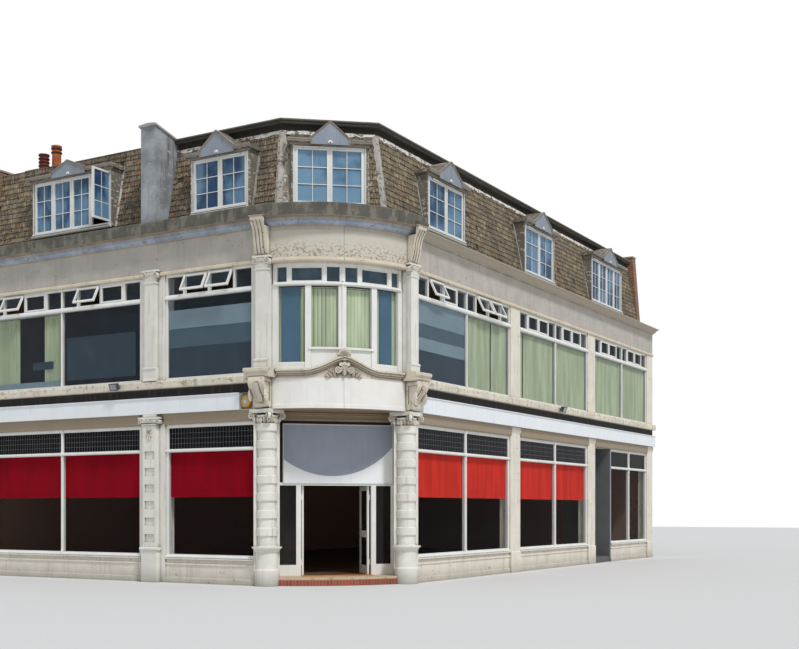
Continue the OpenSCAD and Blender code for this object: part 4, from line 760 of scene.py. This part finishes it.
def bonded(paint, along, up, colors, joint, long, high, smooth=0.1):
    """Bricks or boards in courses; the colours are of two faces and of the joint."""
    flat = paint.add("ShaderNodeCombineXYZ", {"X": along, "Y": up})[0]
    bond = paint.add("ShaderNodeTexBrick", {
        "Vector": flat, "Color1": linear(colors[0]), "Color2": linear(colors[1]),
        "Mortar": linear(colors[2]), "Scale": 1.0, "Mortar Size": joint,
        "Mortar Smooth": smooth, "Brick Width": long, "Row Height": high})
    paint.tone = bond["Color"]
    return bond["Fac"]


def brickwork(name, colors, long=0.225, high=0.075, rooms=False):
    """Stretcher bond; with rooms, the faces inside the building are dark plaster."""
    paint = Paint(name, colors[0], 0.9)
    joints = bonded(paint, paint.along(), paint.z, colors, 0.01, long, high, 0.3)
    paint.lay([0.55 * c for c in colors[0]],
              paint.part(paint.spots((1, 1, 0.5), 0.6, 9), 0.4, 0.8, 0.4))
    relief = 0.7
    if rooms:
        inside = paint.join(paint.within(paint.x, CORNER - LEFT_END + 0.05, 2.6),
                            paint.within(paint.y, -2.6, RIGHT_END - CORNER - 0.05))
        inside = paint.join(inside, paint.within(paint.z, -1.0, 8.2))
        paint.lay((152, 122, 108), inside)
        relief = paint.join(relief, inside, "SUBTRACT")
    paint.bump(joints, relief, 0.006, invert=True)
    return paint


dress(brickwork("party_brick", ((150, 106, 82), (126, 84, 64), (158, 148, 132)), rooms=True),
      "party_wall_west", "party_wall_north")
stack = brickwork("stack_brick", ((148, 100, 78), (122, 80, 62), (150, 140, 124)))
clay = stack.blend(stack.part(stack.y, -0.12, -0.08), (126, 52, 40), (190, 106, 62))
clay = stack.blend(stack.part(stack.spots((1, 1, 1), 5, 6), 0.4, 0.7, 0.5), clay, (120, 62, 44))
stack.lay(clay, stack.within(stack.z, STACK_Z - 0.005, 13.0))
dress(stack, "chimney_stack")
bands = Shape()
for y, top, tall in POTS:
    for level in ([top - 0.09, top - 0.2] if tall else
                  [STACK_Z + 0.12 + 0.1 * k for k in range(5)]):
        bands.turned(lambda x, out, z: (POT_X + x, -CORNER + y + out, z),
                     [(r, level + rise) for r, rise in ((0.118, -0.03), (0.152, -0.02), (0.16, 0),
                                                        (0.152, 0.02), (0.118, 0.03))], sides=24)
bands.piece("pot_bands", "brick", coat("burnt_clay", (92, 44, 34), 0.2, streaks=0.3, corners=0.3))
slabs = Shape()
slabs.bar(left, (LEFT_END - PARTY - 0.03, LEFT_END - 0.001), (-RIGHT_END + 0.35, -0.62),
          (11.0, 11.045))
slabs.bar(right, (RIGHT_END - PARTY - 0.03, RIGHT_END - 0.001), (-LEFT_END + 0.36, -0.62),
          (11.001, 11.046))
slabs.piece("party_copings", "stucco", coat("coping_stone", (176, 170, 156), **WEATHERED))

# Shopfront joinery: turned colonnettes on the mullions, a rounded transom between them, and
# leaded lights over the transoms of the four main bays.
SHOP_BAYS = ((left, ((2.699, 5.39, 1), (6.155, 11.56, 2))),
             (right, ((2.699, 8.0, 2), (8.64, 13.87, 2), (16.01, 19.74, 2))))
SHOP_SILL, SHOP_HEAD, TRANSOM = 0.605, 3.77, 3.15
PLAIN_BAY = 16.01
POST, SHAFT_R, SHAFT_OUT = 0.08, 0.023, -0.036
LEAD_PITCH, LEAD_HALF, LEAD_OUT = (0.09, 0.125), 0.004, -0.0755


def lights_of(fronts, post):
    """Each light: front, its bay's number and data, its own number, its two clear edges."""
    for at, bays in fronts:
        for b, bay in enumerate(bays):
            pitch = (bay[1] - bay[0] - post) / bay[2]
            for i in range(bay[2]):
                yield at, b, bay, i, bay[0] + i * pitch + post, bay[0] + (i + 1) * pitch


def colonnette(foot, head, knob, r):
    """Profile of a slim turned shaft with a knob where the transom meets it."""
    return [(1.5 * r, foot), (1.5 * r, foot + 0.09), (1.2 * r, foot + 0.1),
            (1.35 * r, foot + 0.12), (r, foot + 0.15), (r, knob - 0.15), (1.3 * r, knob - 0.14),
            (1.3 * r, knob - 0.125), (r, knob - 0.11), (r, knob - 0.06), (1.6 * r, knob - 0.045),
            (1.9 * r, knob), (1.6 * r, knob + 0.045), (r, knob + 0.06), (r, head - 0.08),
            (1.4 * r, head - 0.06), (1.5 * r, head)]


lines, cames = Shape(), Shape()
for at, b, bay, i, x0, x1 in lights_of(SHOP_BAYS, POST):
    if i:
        lines.turned(at, colonnette(SHOP_SILL + 0.002, SHOP_HEAD - 0.002, TRANSOM, SHAFT_R),
                     x0 - POST / 2, SHAFT_OUT, 14)
    else:
        ends = (bay[0] + 0.004, bay[1] - 0.004)
        lines.moulding(at, ((-0.041, -0.04), (-0.014, -0.034), (-0.002, -0.018), (0.001, 0.004),
                            (-0.01, 0.026), (-0.041, 0.038)), ends, 0, TRANSOM)
        lines.moulding(at, ((-0.041, 0.001), (0.004, 0.001), (0.008, 0.018), (-0.004, 0.034),
                            (-0.041, 0.06)), ends, 0, SHOP_SILL)
    if bay[0] == PLAIN_BAY:
        continue
    z0, z1 = TRANSOM + 0.04, SHOP_HEAD - POST
    across, rows = round((x1 - x0) / LEAD_PITCH[0]), round((z1 - z0) / LEAD_PITCH[1])
    for k in range(1, across):
        x = x0 + (x1 - x0) * k / across
        cames.bar(at, (x - LEAD_HALF, x + LEAD_HALF), (LEAD_OUT, LEAD_OUT + 0.0055), (z0, z1))
    for k in range(1, rows):
        z = z0 + (z1 - z0) * k / rows
        cames.bar(at, (x0, x1), (LEAD_OUT + 0.001, LEAD_OUT + 0.0065),
                  (z - LEAD_HALF, z + LEAD_HALF))
lines.piece("shopfront_mouldings", "white_joinery", joinery)
cames.piece("leaded_lights", "lead",
            coat("lead_came", (96, 97, 100), 0.2, streaks=0.2, corners=0, rough=0.5))

# Shop blinds: red cotton on spring rollers behind the glass, let down over the upper part
# of each window, with a batten sewn into the hem.
BLIND_LOW, BLIND_TOP, BLIND_OUT = 2.04, 3.16, -0.131
COTTON, BATTEN, ROLLER_R = 0.0014, 0.009, 0.018


def cloth_paint(name, color):
    """Plain woven cloth with a fine rib and faded stripes where it has hung in the sun."""
    paint = Paint(name, [0.88 * c for c in color], 0.9, 0.1)
    paint.lay(color, paint.part(paint.spots((1, 1, 0.15), 3, 2), 0.35, 0.7))
    paint.bump(paint.spots((1, 1, 0.1), 40, 2), 0.25)
    return paint


def cloth(shape, at, surface, across, down, thick):
    """A closed sheet over surface(u, v), which gives length, out and height; v runs down."""
    sheet = []
    for i in range(across + 1):
        places = [(surface(i / across, j / down), thick(j / down) / 2) for j in range(down + 1)]
        sheet.append([at(l, out + half, z) for (l, out, z), half in places]
                     + [at(l, out - half, z) for (l, out, z), half in places[::-1]])
    shape.loops(sheet)


REDS = {left: ("left", cloth_paint("blind_burgundy", (176, 4, 32))),
        right: ("right", cloth_paint("blind_red", (252, 64, 50)))}
rollers, blinds = Shape(), []
for at, b, bay, i, x0, x1 in lights_of(SHOP_BAYS, POST):
    if bay[0] == PLAIN_BAY:
        continue
    x0, x1 = x0 + 0.004, x1 - 0.004
    phase = rng.uniform(0, 6)
    blind = Shape()
    cloth(blind, at,
          lambda u, v: (x0 + (x1 - x0) * u,
                        BLIND_OUT + 0.004 * v * math.sin(5 * u + phase) + 0.003 * math.sin(3 * v),
                        BLIND_TOP - (BLIND_TOP - BLIND_LOW) * v),
          16, 24, lambda v: BATTEN if v > 0.975 else COTTON)
    side, red = REDS[at]
    blinds.append(blind.piece(f"shop_blind_{side}_{b + 1}_{i + 1}", "red_blind", red))
    rollers.loops([[at(x, BLIND_OUT + ROLLER_R * math.cos(math.pi * k / 6),
                       BLIND_TOP + 0.012 + ROLLER_R * math.sin(math.pi * k / 6))
                    for k in range(12)] for x in (x0 - 0.002, x1 + 0.002)])
rollers.piece("blind_rollers", "red_blind", cloth_paint("roller_cloth", (110, 20, 34)))
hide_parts("shop_blinds")

# Board over the doors: a white painted sheet in an aluminium edge, fixed before a recess
# coloured near black as painted shade; a blue-grey patch on it that ends below in an arc is
# the painted shadow of the curved apron. The beam over it has three small mouldings.
BOARD_X, BOARD_Z, BOARD_EDGE = (-1.205, 1.455), (2.345, 3.755), 0.022
ARC_X, ARC_Z, ARC_R = -0.036, 4.421, 1.8866
EDGE_N, FIELD_N, SHEET_N, STUD_N, RECESS_N = 2.338, 2.342, 2.346, 2.352, 2.376
BEAM_N, BEAM_HALF = 2.356, 1.44


def diagonal(x, n, z):
    """Across the entrance: x to the right as seen from the street, n into the building."""
    return (CORNER + (x - n) / math.sqrt(2), -CORNER + (x + n) / math.sqrt(2), z)


board = Shape()
board.bar(diagonal, (-1.454, 1.4545), (RECESS_N, 2.404), (2.3815, 3.8285))
board.bar(diagonal, BOARD_X, (SHEET_N, STUD_N), BOARD_Z, 1)
for x in (-0.9, 0.1, 1.1):
    board.bar(diagonal, (x, x + 0.05), (STUD_N, RECESS_N), (2.4, 3.74))
board.surround(diagonal, BOARD_X, (EDGE_N, SHEET_N), BOARD_Z, BOARD_EDGE, 3,
               (BOARD_EDGE, BOARD_EDGE + 0.004))
# Outline of the painted shadow: an arc below, straight along the top of the sheet.
a, b, top = BOARD_X[0] + 0.024, BOARD_X[1] - 0.024, BOARD_Z[1] - 0.028
xs = [a + (b - a) * k / 40 for k in range(41)]
shadow_outline = [(x, ARC_Z - math.sqrt(ARC_R ** 2 - (x - ARC_X) ** 2)) for x in xs] + [(b, top), (a, top)]
board.loops([[diagonal(x, n, z) for x, z in shadow_outline] for n in (FIELD_N, SHEET_N)], 2)
board.piece("entrance_board", "pale_panel",
            coat("board_recess", (34, 30, 28), streaks=0.1, corners=0),
            coat("board_white", (250, 252, 254), 0.04, streaks=0.12, corners=0.3, rough=0.45,
                 bump=0.05),
            coat("board_painted_shadow", (158, 166, 182), 0.06, streaks=0.1, corners=0.2, rough=0.45,
                 bump=0.05),
            coat("board_edge", (214, 212, 206), 0.05, streaks=0.1, corners=0.2, rough=0.4),
            replaces=("entrance_panel",))
beam = Shape()
for z, out in ((3.985, 0.05), (3.945, 0.03), (3.845, 0.02)):
    beam.moulding(diagonal, ((BEAM_N, 0), (BEAM_N - 0.6 * out, 0), (BEAM_N - out, 0.018),
                             (BEAM_N - out, 0.034), (BEAM_N, 0.038)),
                  (-BEAM_HALF, BEAM_HALF), 0, z)
beam.piece("beam_mouldings", "white_joinery",
           coat("beam_paint", (152, 134, 108), 0.12, streaks=0.3, corners=0.5))

# Doors: white hardwood frames with two dark panes each, glazing beads and a lever handle on
# a plate; each hangs on two knuckles and stands open in the shop.
LEAF_W, OPENING_X, OPENINGS = 0.823, (0.085, 0.718), ((0.398, 1.09), (1.23, 2.207))
DOOR_PANE, BEAD = (-0.0428, -0.0322), 0.012
HINGE_LEFT, HINGE_RIGHT, HINGE_N, DOOR_FACES = -0.752, 0.902, 2.459, (-0.059, -0.015)
dress(joinery, "door_leaf_left", "door_leaf_right")
# The door panes are opaque and near black: painted shade of the dark shop behind.
dark_pane = pane_glass("glass_door", (26, 24, 24), 1.0, shine=0.3)
steel = coat("handle_steel", (176, 176, 172), 0.08, streaks=0, corners=0.2, rough=0.35)
for side, at in (("left", lambda x, y, z: diagonal(HINGE_LEFT - y, HINGE_N + x, z)),
                 ("right", lambda x, y, z: diagonal(HINGE_RIGHT + y, HINGE_N + x, z))):
    fittings = Shape()
    for z in OPENINGS:
        fittings.bar(at, OPENING_X, DOOR_PANE, z, 1)
        for y in ((-0.0585, DOOR_PANE[0]), (DOOR_PANE[1], -0.0165)):
            fittings.surround(at, OPENING_X, y, z, BEAD)
    for face, out in zip(DOOR_FACES, (-1, 1)):
        for x, y, z in (((0.08, 0.038), (0, 0.005), (1.06, 1.27)),
                        ((0.066, 0.052), (0.005, 0.04), (1.172, 1.186)),
                        ((0.17, 0.05), (0.032, 0.044), (1.17, 1.188))):
            fittings.bar(at, [LEAF_W - u for u in x], sorted(face + out * v for v in y), z, 2)
    fittings.piece(f"door_fittings_{side}", "white_joinery", joinery, dark_pane, steel,
                   body=f"entrance_door_{side}")

# Step and floors: a step of red bricks on edge with a worn screed on top, an oak
# threshold, boarded floor inside; grey panelled side door in its grey lobby.
step = brickwork("step_bricks", ((166, 90, 70), (142, 74, 58), (170, 128, 106)), 0.107, 0.14)
step.lay((206, 182, 152), step.part(step.z, 0.135, 0.15))
step.lay((120, 88, 72), step.part(step.spots((1, 1, 1), 5, 6), 0.5, 0.75, 0.5))
dress(step, "entrance_step")
threshold = Shape()
threshold.moulding(diagonal, ((2.05, 0.191), (2.062, 0.204), (2.385, 0.204), (2.385, 0.191)),
                   (-0.765, 0.915))
threshold.piece("oak_threshold", "step_brick",
                coat("oak_worn", (196, 128, 56), 0.3, stain_and_shade=(88, 58, 28), streaks=0, corners=0.2))
OAK = (122, 92, 68)
planks = Paint("shop_floor", OAK, 0.6)
bonded(planks, planks.y, planks.x, (OAK, [0.72 * c for c in OAK], [0.3 * c for c in OAK]),
       0.003, 2.4, 0.14)
planks.lay([0.55 * c for c in OAK], planks.part(planks.spots((9, 0.6, 1), 6, 5), 0.35, 0.7, 0.4))
dress(planks, "ground_floor")
dress(coat("lobby_grey", (104, 107, 110), streaks=0.3, base_dirt=0.5), "side_lobby")
dress(coat("door_grey", (84, 88, 95), 0.08, streaks=0.2, rough=0.5), "side_door")


SIDE_HINGE, SIDE_SET, SIDE_FACE = 14.778, -1.114, 0.059
PANELS_X, PANELS_Z = ((0.078, 0.402), (0.468, 0.792)), ((0.318, 0.992), (1.168, 2.092))
PANEL_BEAD = 0.018


def side_leaf(x, y, z):
    """On the side door: x along the leaf from its hinge, y out towards the street."""
    return right(SIDE_HINGE + x, SIDE_SET + y, z)


door_parts = Shape()
for x in PANELS_X:
    for z in PANELS_Z:
        door_parts.surround(side_leaf, x, (SIDE_FACE - 0.003, SIDE_FACE + 0.009), z, PANEL_BEAD)
door_parts.bar(side_leaf, (0.33, 0.58), (SIDE_FACE, SIDE_FACE + 0.006), (1.03, 1.08), 1)
door_parts.turned(lambda x, y, z: side_leaf(0.82 + x, 0.06 + z, 1.12 + y),
                  [(0.022, 0.0), (0.012, 0.006), (0.012, 0.025), (0.026, 0.036), (0.024, 0.052),
                   (0.01, 0.06)], tag=1)
door_parts.piece("side_door_fittings", "grey_door",
                 coat("door_grey_bead", (78, 82, 89), 0.06, streaks=0.1, corners=0.4, rough=0.5),
                 steel, body="street_door")

# First-floor windows: slim colonnettes on the mullions, a weathered transom, narrow sashes
# in the closed vents and glass in the open ones.
UPPER_BAYS = ((left, ((2.77, 5.39, 1, ((0, 1), (0, 2))), (6.155, 11.56, 2, ((0, 2), (1, 2))))),
              (right, ((2.77, 8.0, 2, ((0, 1), (1, 1), (1, 2))), (8.64, 13.87, 2, ()),
                       (14.51, 19.74, 2, ()))))
UPPER_SILL, UPPER_HEAD, RAIL = 4.83, 7.35, 6.81
UPPER_POST, UPPER_SHAFT_R, UPPER_SHAFT_OUT = 0.06, 0.02, -0.026
VENT_SHARES, VENT_Z, VENT_TOP = (0, 0.2, 0.5, 0.8, 1), (6.87, 7.288), 7.29
VENT_SIN, VENT_COS = math.sin(math.radians(26)), math.cos(math.radians(26))
window_lines, vent_panes = Shape(), Shape()
for at, b, bay, i, x0, x1 in lights_of(UPPER_BAYS, UPPER_POST):
    if i:
        window_lines.turned(at, colonnette(UPPER_SILL + 0.002, UPPER_HEAD - 0.002, RAIL,
                                           UPPER_SHAFT_R), x0 - UPPER_POST / 2, UPPER_SHAFT_OUT, 14)
    else:
        window_lines.moulding(at, ((-0.016, 6.757), (0.008, 6.76), (0.02, 6.775), (0.022, 6.8),
                                   (0.01, 6.825), (-0.016, 6.862)),
                              (bay[0] + 0.004, bay[1] - 0.004))
    for k in (1, 2):
        a = x0 + VENT_SHARES[k] * (x1 - x0) + 0.03
        wide = (VENT_SHARES[k + 1] - VENT_SHARES[k]) * (x1 - x0) - 0.06
        if (i, k) in bay[3]:
            vent_panes.bar(lambda u, t, d: at(a + u, -0.035 + d * VENT_SIN + t * VENT_COS,
                                              VENT_TOP - d * VENT_COS + t * VENT_SIN),
                           (0.05, wide - 0.05), (0.022, 0.028), (0.05, 0.375))
        else:
            window_lines.surround(at, (a, a + wide), (-0.04, -0.012), VENT_Z, 0.04)


def station(angle, radius):
    """A flat place on the curve, at an angle from the left front; x runs to the right."""
    a = math.radians(angle)

    def at(x, out, z):
        r = radius + out
        return (r * math.sin(a) + x * math.cos(a), -r * math.cos(a) + x * math.sin(a), z)
    return at


def chord(a0, a1, radius):
    """The flat place of a window light between two angles of the curve, and half its width."""
    half = math.radians(a1 - a0) / 2
    return station((a0 + a1) / 2, radius * math.cos(half)), radius * math.sin(half)


window_lines.curved(((2.585, 6.836), (2.63, 6.84), (2.648, 6.862), (2.645, 6.892),
                     (2.61, 6.92), (2.585, 6.926)), (10.2, 79.8), 28)
bow_middle = station(45, 2.6)
window_lines.turned(bow_middle, [(0.03, 6.93), (0.03, 6.96), (0.02, 6.98), (0.02, 7.27),
                                 (0.028, 7.29), (0.03, 7.345)], sides=14)
window_lines.turned(bow_middle, [(0.034, 5.3), (0.034, 5.42), (0.024, 5.44), (0.024, 6.76),
                                 (0.032, 6.78), (0.034, 6.834)], sides=14)
for a0, a1 in ((17.8, 36), (54, 72.2)):
    at, reach = chord(a0, a1, 2.59)
    window_lines.surround(at, (0.04 - reach, reach - 0.04), (-0.03, 0.004), (6.92, 7.262), 0.028,
                          rails=(0.03, 0.028))
window_lines.piece("window_mouldings", "white_joinery", joinery)
vent_panes.piece("vent_panes", "window_glass", upper_glass)

# Films on the inside of the first-floor panes: plain vinyl in slate and pale blue-grey bands,
# cut to height and rolled on to the glass.
FILMS = (("film_slate", (44, 60, 74)), ("film_mid", (86, 110, 124)),
         ("film_pale", (152, 176, 188)), ("film_blue", (76, 112, 138)))
SLATE, MID, PALE, BLUE = range(4)
FILM_OUT, BOW_FILM_OUT, BOW_FILM_Z = (-0.074, -0.0725), (-0.018, -0.0165), (5.1, 6.82)
films = Shape()
for at, l0, l1, bands in (
        (right, 2.84, 5.35, ((4.84, 5.56, SLATE), (5.565, 5.87, PALE), (5.875, 6.2, MID),
                             (6.205, 6.75, PALE))),
        (left, 2.84, 5.32, ((4.84, 5.6, SLATE), (5.605, 6.05, MID), (6.055, 6.5, PALE))),
        (left, 6.4, 8.72, ((5.02, 6.1, SLATE),)),
        (left, 9.2, 9.95, ((5.35, 5.55, SLATE),)),
        (left, 8.95, 11.3, ((4.86, 5.04, PALE),))):
    for z0, z1, tag in bands:
        films.bar(at, (l0, l1), FILM_OUT, (z0, z1), tag)
for a0, a1, share in ((10.4, 27.7, (0.18, 0.74)), (62.3, 79.6, (0.26, 0.74))):
    at, reach = chord(a0, a1, 2.55)
    films.bar(at, [-reach + 2 * reach * part for part in share], BOW_FILM_OUT, BOW_FILM_Z, BLUE)
films.piece("window_films", "pale_panel",
            *(coat(name, color, 0.08, streaks=0, corners=0, rough=0.35, bump=0.02)
              for name, color in FILMS))

# Vertical blinds: pale green cloth vanes 89 mm wide that hang from a head rail, turned a
# little and not all the same way.
VANE, VANE_PITCH, VANE_Z, VANE_OUT = 0.089, 0.079, (4.87, 6.72), -0.116
HEAD_OUT, HEAD_Z = (-0.136, -0.1), (6.735, 6.765)
SKIPPED = {("right", 0, 1): (18, 19), ("right", 1, 0): (3, 4), ("left", 1, 1): range(8, 20)}
green = cloth_paint("vane_green", (222, 236, 196))


def vanes(name, places, z0, z1, turn, replaces=()):
    """A row of hanging vanes, one at each place, as one piece."""
    shape = Shape()
    for at, l, out in places:
        a = math.radians(turn) + math.radians(rng.uniform(-9, 9))
        dx, dy = 0.5 * VANE * math.cos(a), 0.5 * VANE * math.sin(a)
        shape.loops([[at(l - dx, out - dy, z), at(l, out + 0.006, z), at(l + dx, out + dy, z),
                      at(l + dx, out + dy + 0.001, z), at(l, out + 0.007, z),
                      at(l - dx, out - dy + 0.001, z)] for z in (z1, (z0 + z1) / 2, z0)])
    made = shape.piece(name, "green_blind", green, replaces=replaces)


head_rails = Shape()
for at, b, bay, i, x0, x1 in lights_of(UPPER_BAYS, UPPER_POST):
    here = ("left" if at is left else "right", b, i)
    if at is left and (b, i) != (1, 1):
        continue
    if here == ("right", 0, 0):
        x0 = x1 - 0.5
    count = int((x1 - x0 - 0.06) / VANE_PITCH)
    vanes(f"vertical_blind_{here[0]}_{b + 1}_{i + 1}",
          [(at, x0 + 0.06 + VANE_PITCH * k, VANE_OUT) for k in range(count)
           if k not in SKIPPED.get(here, ())],
          *VANE_Z, 30, ("upper_blinds",) if here == ("right", 1, 0) else ())
    head_rails.bar(at, (x0 + 0.01, x1 - 0.01), HEAD_OUT, HEAD_Z)
for i, (a0, a1, z0) in enumerate(((10.4, 27.7, 5.08), (27.7, 45, 5.42), (45, 62.3, 5.42),
                                  (62.3, 79.6, 5.08))):
    vanes(f"bow_blind_{i + 1}",
          [(station(a0 + 1.6 + (a1 - a0 - 3.2) * k / 7, 2.47), 0, 0) for k in range(8)
           if i in (1, 2) or k not in (3, 4)], z0, 6.78, 20)
head_rails.curved(((2.455, 6.79), (2.485, 6.79), (2.485, 6.815), (2.455, 6.815)), (11, 79), 12)
head_rails.piece("blind_head_rails", "white_joinery",
                 coat("rail_white", (216, 216, 210), 0.05, streaks=0, corners=0.2, rough=0.4))

# Carved and cast ornament: leaves and drops on the left piers, spirals on every volute,
# leaves round the column capitals and in the spandrels of the crest.
carving = Shape()


def leaf(at, x, out, z, angle, length, wide, rise):
    """A lobed leaf with a sunk rib that lies on a face and points along an angle from up."""
    dx, dz = math.sin(math.radians(angle)), math.cos(math.radians(angle))
    outline = []
    for k in range(9):
        t = k / 8
        lobe = max(0.08, math.sin(math.pi * min(1, 0.12 + 0.88 * t)) ** 0.8)
        half = wide / 2 * lobe * (1 + 0.16 * (-1) ** k)
        lift = rise * max(0.15, math.sin(math.pi * min(1, 0.2 + 0.8 * t)))
        outline.append([at(x + dx * length * t + dz * u, out + v, z + dz * length * t - dx * u)
                        for u, v in ((-half, 0), (-0.55 * half, lift), (0, 0.45 * lift),
                                     (0.55 * half, lift), (half, 0), (0, -0.006))])
    carving.loops(outline)


def spiral(at, x, out, z, radius, side):
    """A raised round scroll that winds in from the top of a volute to its eye."""
    path = []
    for k in range(30):
        a, r = 3.8 * math.pi * k / 29, radius * (1 - 0.86 * k / 29)
        path.append((x + side * r * math.sin(a), out + 0.01 * k / 29, z + r * math.cos(a)))
    tube = []
    for k, (px, py, pz) in enumerate(path):
        (x0, _, z0), (x1, _, z1) = path[max(k - 1, 0)], path[min(k + 1, 29)]
        size, r = math.hypot(x1 - x0, z1 - z0), 0.13 * radius * (1 - 0.45 * k / 29)
        nx, nz = (z1 - z0) / size, -(x1 - x0) / size
        tube.append([at(px + nx * r * math.cos(q), py + r * math.sin(q), pz + nz * r * math.cos(q))
                     for q in (math.pi * k / 3 for k in range(6))])
    carving.loops(tube)
    carving.loops([ring(at, x, out + v, z, r * radius, 10)
                   for r, v in ((0.2, -0.01), (0.2, 0.012), (0.1, 0.022))])


for l in (5.7725, 11.9425):
    def pier(x, out, z):
        return left(l + x, out, z)
    for side in (-1, 1):
        spiral(pier, side * 0.274, 0.171, 3.859, 0.052, side)
        spiral(pier, side * 0.167, 0.131, 7.377, 0.072, side)
        for x, out, z, angle, *size in (
                (0.07, 0.16, 3.87, 70, 0.12, 0.07, 0.03),
                (0.015, 0.131, 3.56, 52, 0.12, 0.08, 0.035),
                (0.01, 0.131, 3.56, 128, 0.12, 0.08, 0.035), (0, 0.131, 3.64, 60, 0.1, 0.06, 0.03)):
            leaf(pier, side * x, out, z, side * angle, *size)
    leaf(pier, 0, 0.131, 3.57, 180, 0.2, 0.09, 0.045)
    leaf(pier, 0, 0.131, 3.6, 0, 0.13, 0.07, 0.04)
    leaf(pier, 0, 0.16, 3.85, 0, 0.1, 0.09, 0.03)
    for x in (-0.055, 0, 0.055):
        leaf(pier, x, 0.122, 7.4, 180, 0.075, 0.05, 0.02)
for angle in (6.1, 83.9):
    at = station(angle, 2.771)
    for side in (-1, 1):
        spiral(at, side * 0.147, 0.131, 7.377, 0.072, side)
        leaf(lambda x, out, z: station(angle, 2.77)(side * (0.206 + out), 0.16 + x, z),
             0.05, -0.004, 4.2, 14, 0.3, 0.16, 0.03)
    for x in (-0.045, 0, 0.045):
        leaf(at, x, 0.122, 7.4, 180, 0.075, 0.055, 0.02)
crest = station(45, 2.77)
for side in (-1, 1):
    spiral(crest, side * 0.15, 0.07, 4.89, 0.068, side)
    for x, z, turn, size in ((0.2, 4.76, 20, 0.15), (0.27, 4.755, 45, 0.13), (0.33, 4.75, 66, 0.12),
                             (0.24, 4.83, 60, 0.1), (0.14, 4.75, -12, 0.1)):
        leaf(crest, side * x, -0.014, z, side * turn, size, 0.55 * size, 0.045)
    leaf(crest, side * 0.02, 0.06, 4.99, side * 150, 0.17, 0.07, 0.035)
leaf(crest, 0, 0.06, 5.0, 180, 0.25, 0.09, 0.05)
for k in range(-3, 4):
    leaf(crest, 0, 0.085, 5.2, 24 * k, 0.15, 0.055, 0.04)
for cx, cy in ((0.28, -2.61), (2.61, -0.28)):
    for k in range(16):
        c, s = math.cos(math.pi * k / 8), math.sin(math.pi * k / 8)

        def bell(x, out, z):
            return (cx + out * c - x * s, cy + out * s + x * c, z)
        if k % 4 == 2:
            for side in (-1, 1):
                spiral(lambda x, out, z: bell(side * (0.03 + out), 0.356 + side * x, z),
                       0, 0.03, 3.88, 0.066, 1)
            leaf(bell, 0, 0.27, 3.86, 180, 0.14, 0.1, 0.06)
        else:
            leaf(bell, 0, 0.222, 3.72 if k % 2 else 3.7, 0, 0.16, 0.08, 0.05)
# The carving's recesses take strong painted shade.
carving.piece("carved_ornament", "stucco",
              coat("carved_stucco", (228, 221, 206), stain_and_shade=CARVED_SHADE_AND_GRIME, streaks=0.3, corners=0.9,
                   reach=0.04))

# Fittings on the wall: a hexagonal alarm box of amber plastic with a pale disc, and two dark
# floodlights on the sill.
dress(coat("fitting_plastic", (74, 74, 76), streaks=0.2, corners=0.4, rough=0.5,
           bands=((4.0, 4.5, (222, 166, 70)),)), "wall_fittings")
DISC = dict(spread=0.05, streaks=0.1, corners=0.2, rough=0.4)
ALARM_L, ALARM_Z = 2.93, 4.22


def box_face(x, y, z):
    """On the alarm box: x and y from its middle, z out."""
    return left(ALARM_L + x, z, ALARM_Z + y)


disc = Shape()
disc.turned(box_face, [(0.062, 0.055), (0.07, 0.061), (0.064, 0.068), (0.03, 0.072)], sides=28)
disc.turned(box_face, [(0.03, 0.07), (0.028, 0.076), (0.01, 0.078)], 0.01, tag=1)
disc.piece("alarm_disc", "amber_cover", coat("disc_blue", (170, 194, 208), **DISC),
           coat("disc_white", (228, 232, 232), **DISC))
FLOOD_OUT, FLOOD_Z, TILT_COS, TILT_SIN = 0.225, 4.74, 0.9397, 0.342
flood_glass = Shape()
for at, l in ((left, 6.8036), (right, 11.255)):
    flood_glass.bar(lambda x, y, z: at(l + x, FLOOD_OUT + TILT_COS * y + TILT_SIN * z,
                                       FLOOD_Z + TILT_COS * z - TILT_SIN * y),
                    (-0.1, 0.1), (0.0605, 0.064), (-0.068, 0.068))
flood_glass.piece("floodlight_glass", "window_glass",
                  pane_glass("glass_flood", (150, 154, 156), 0.9))
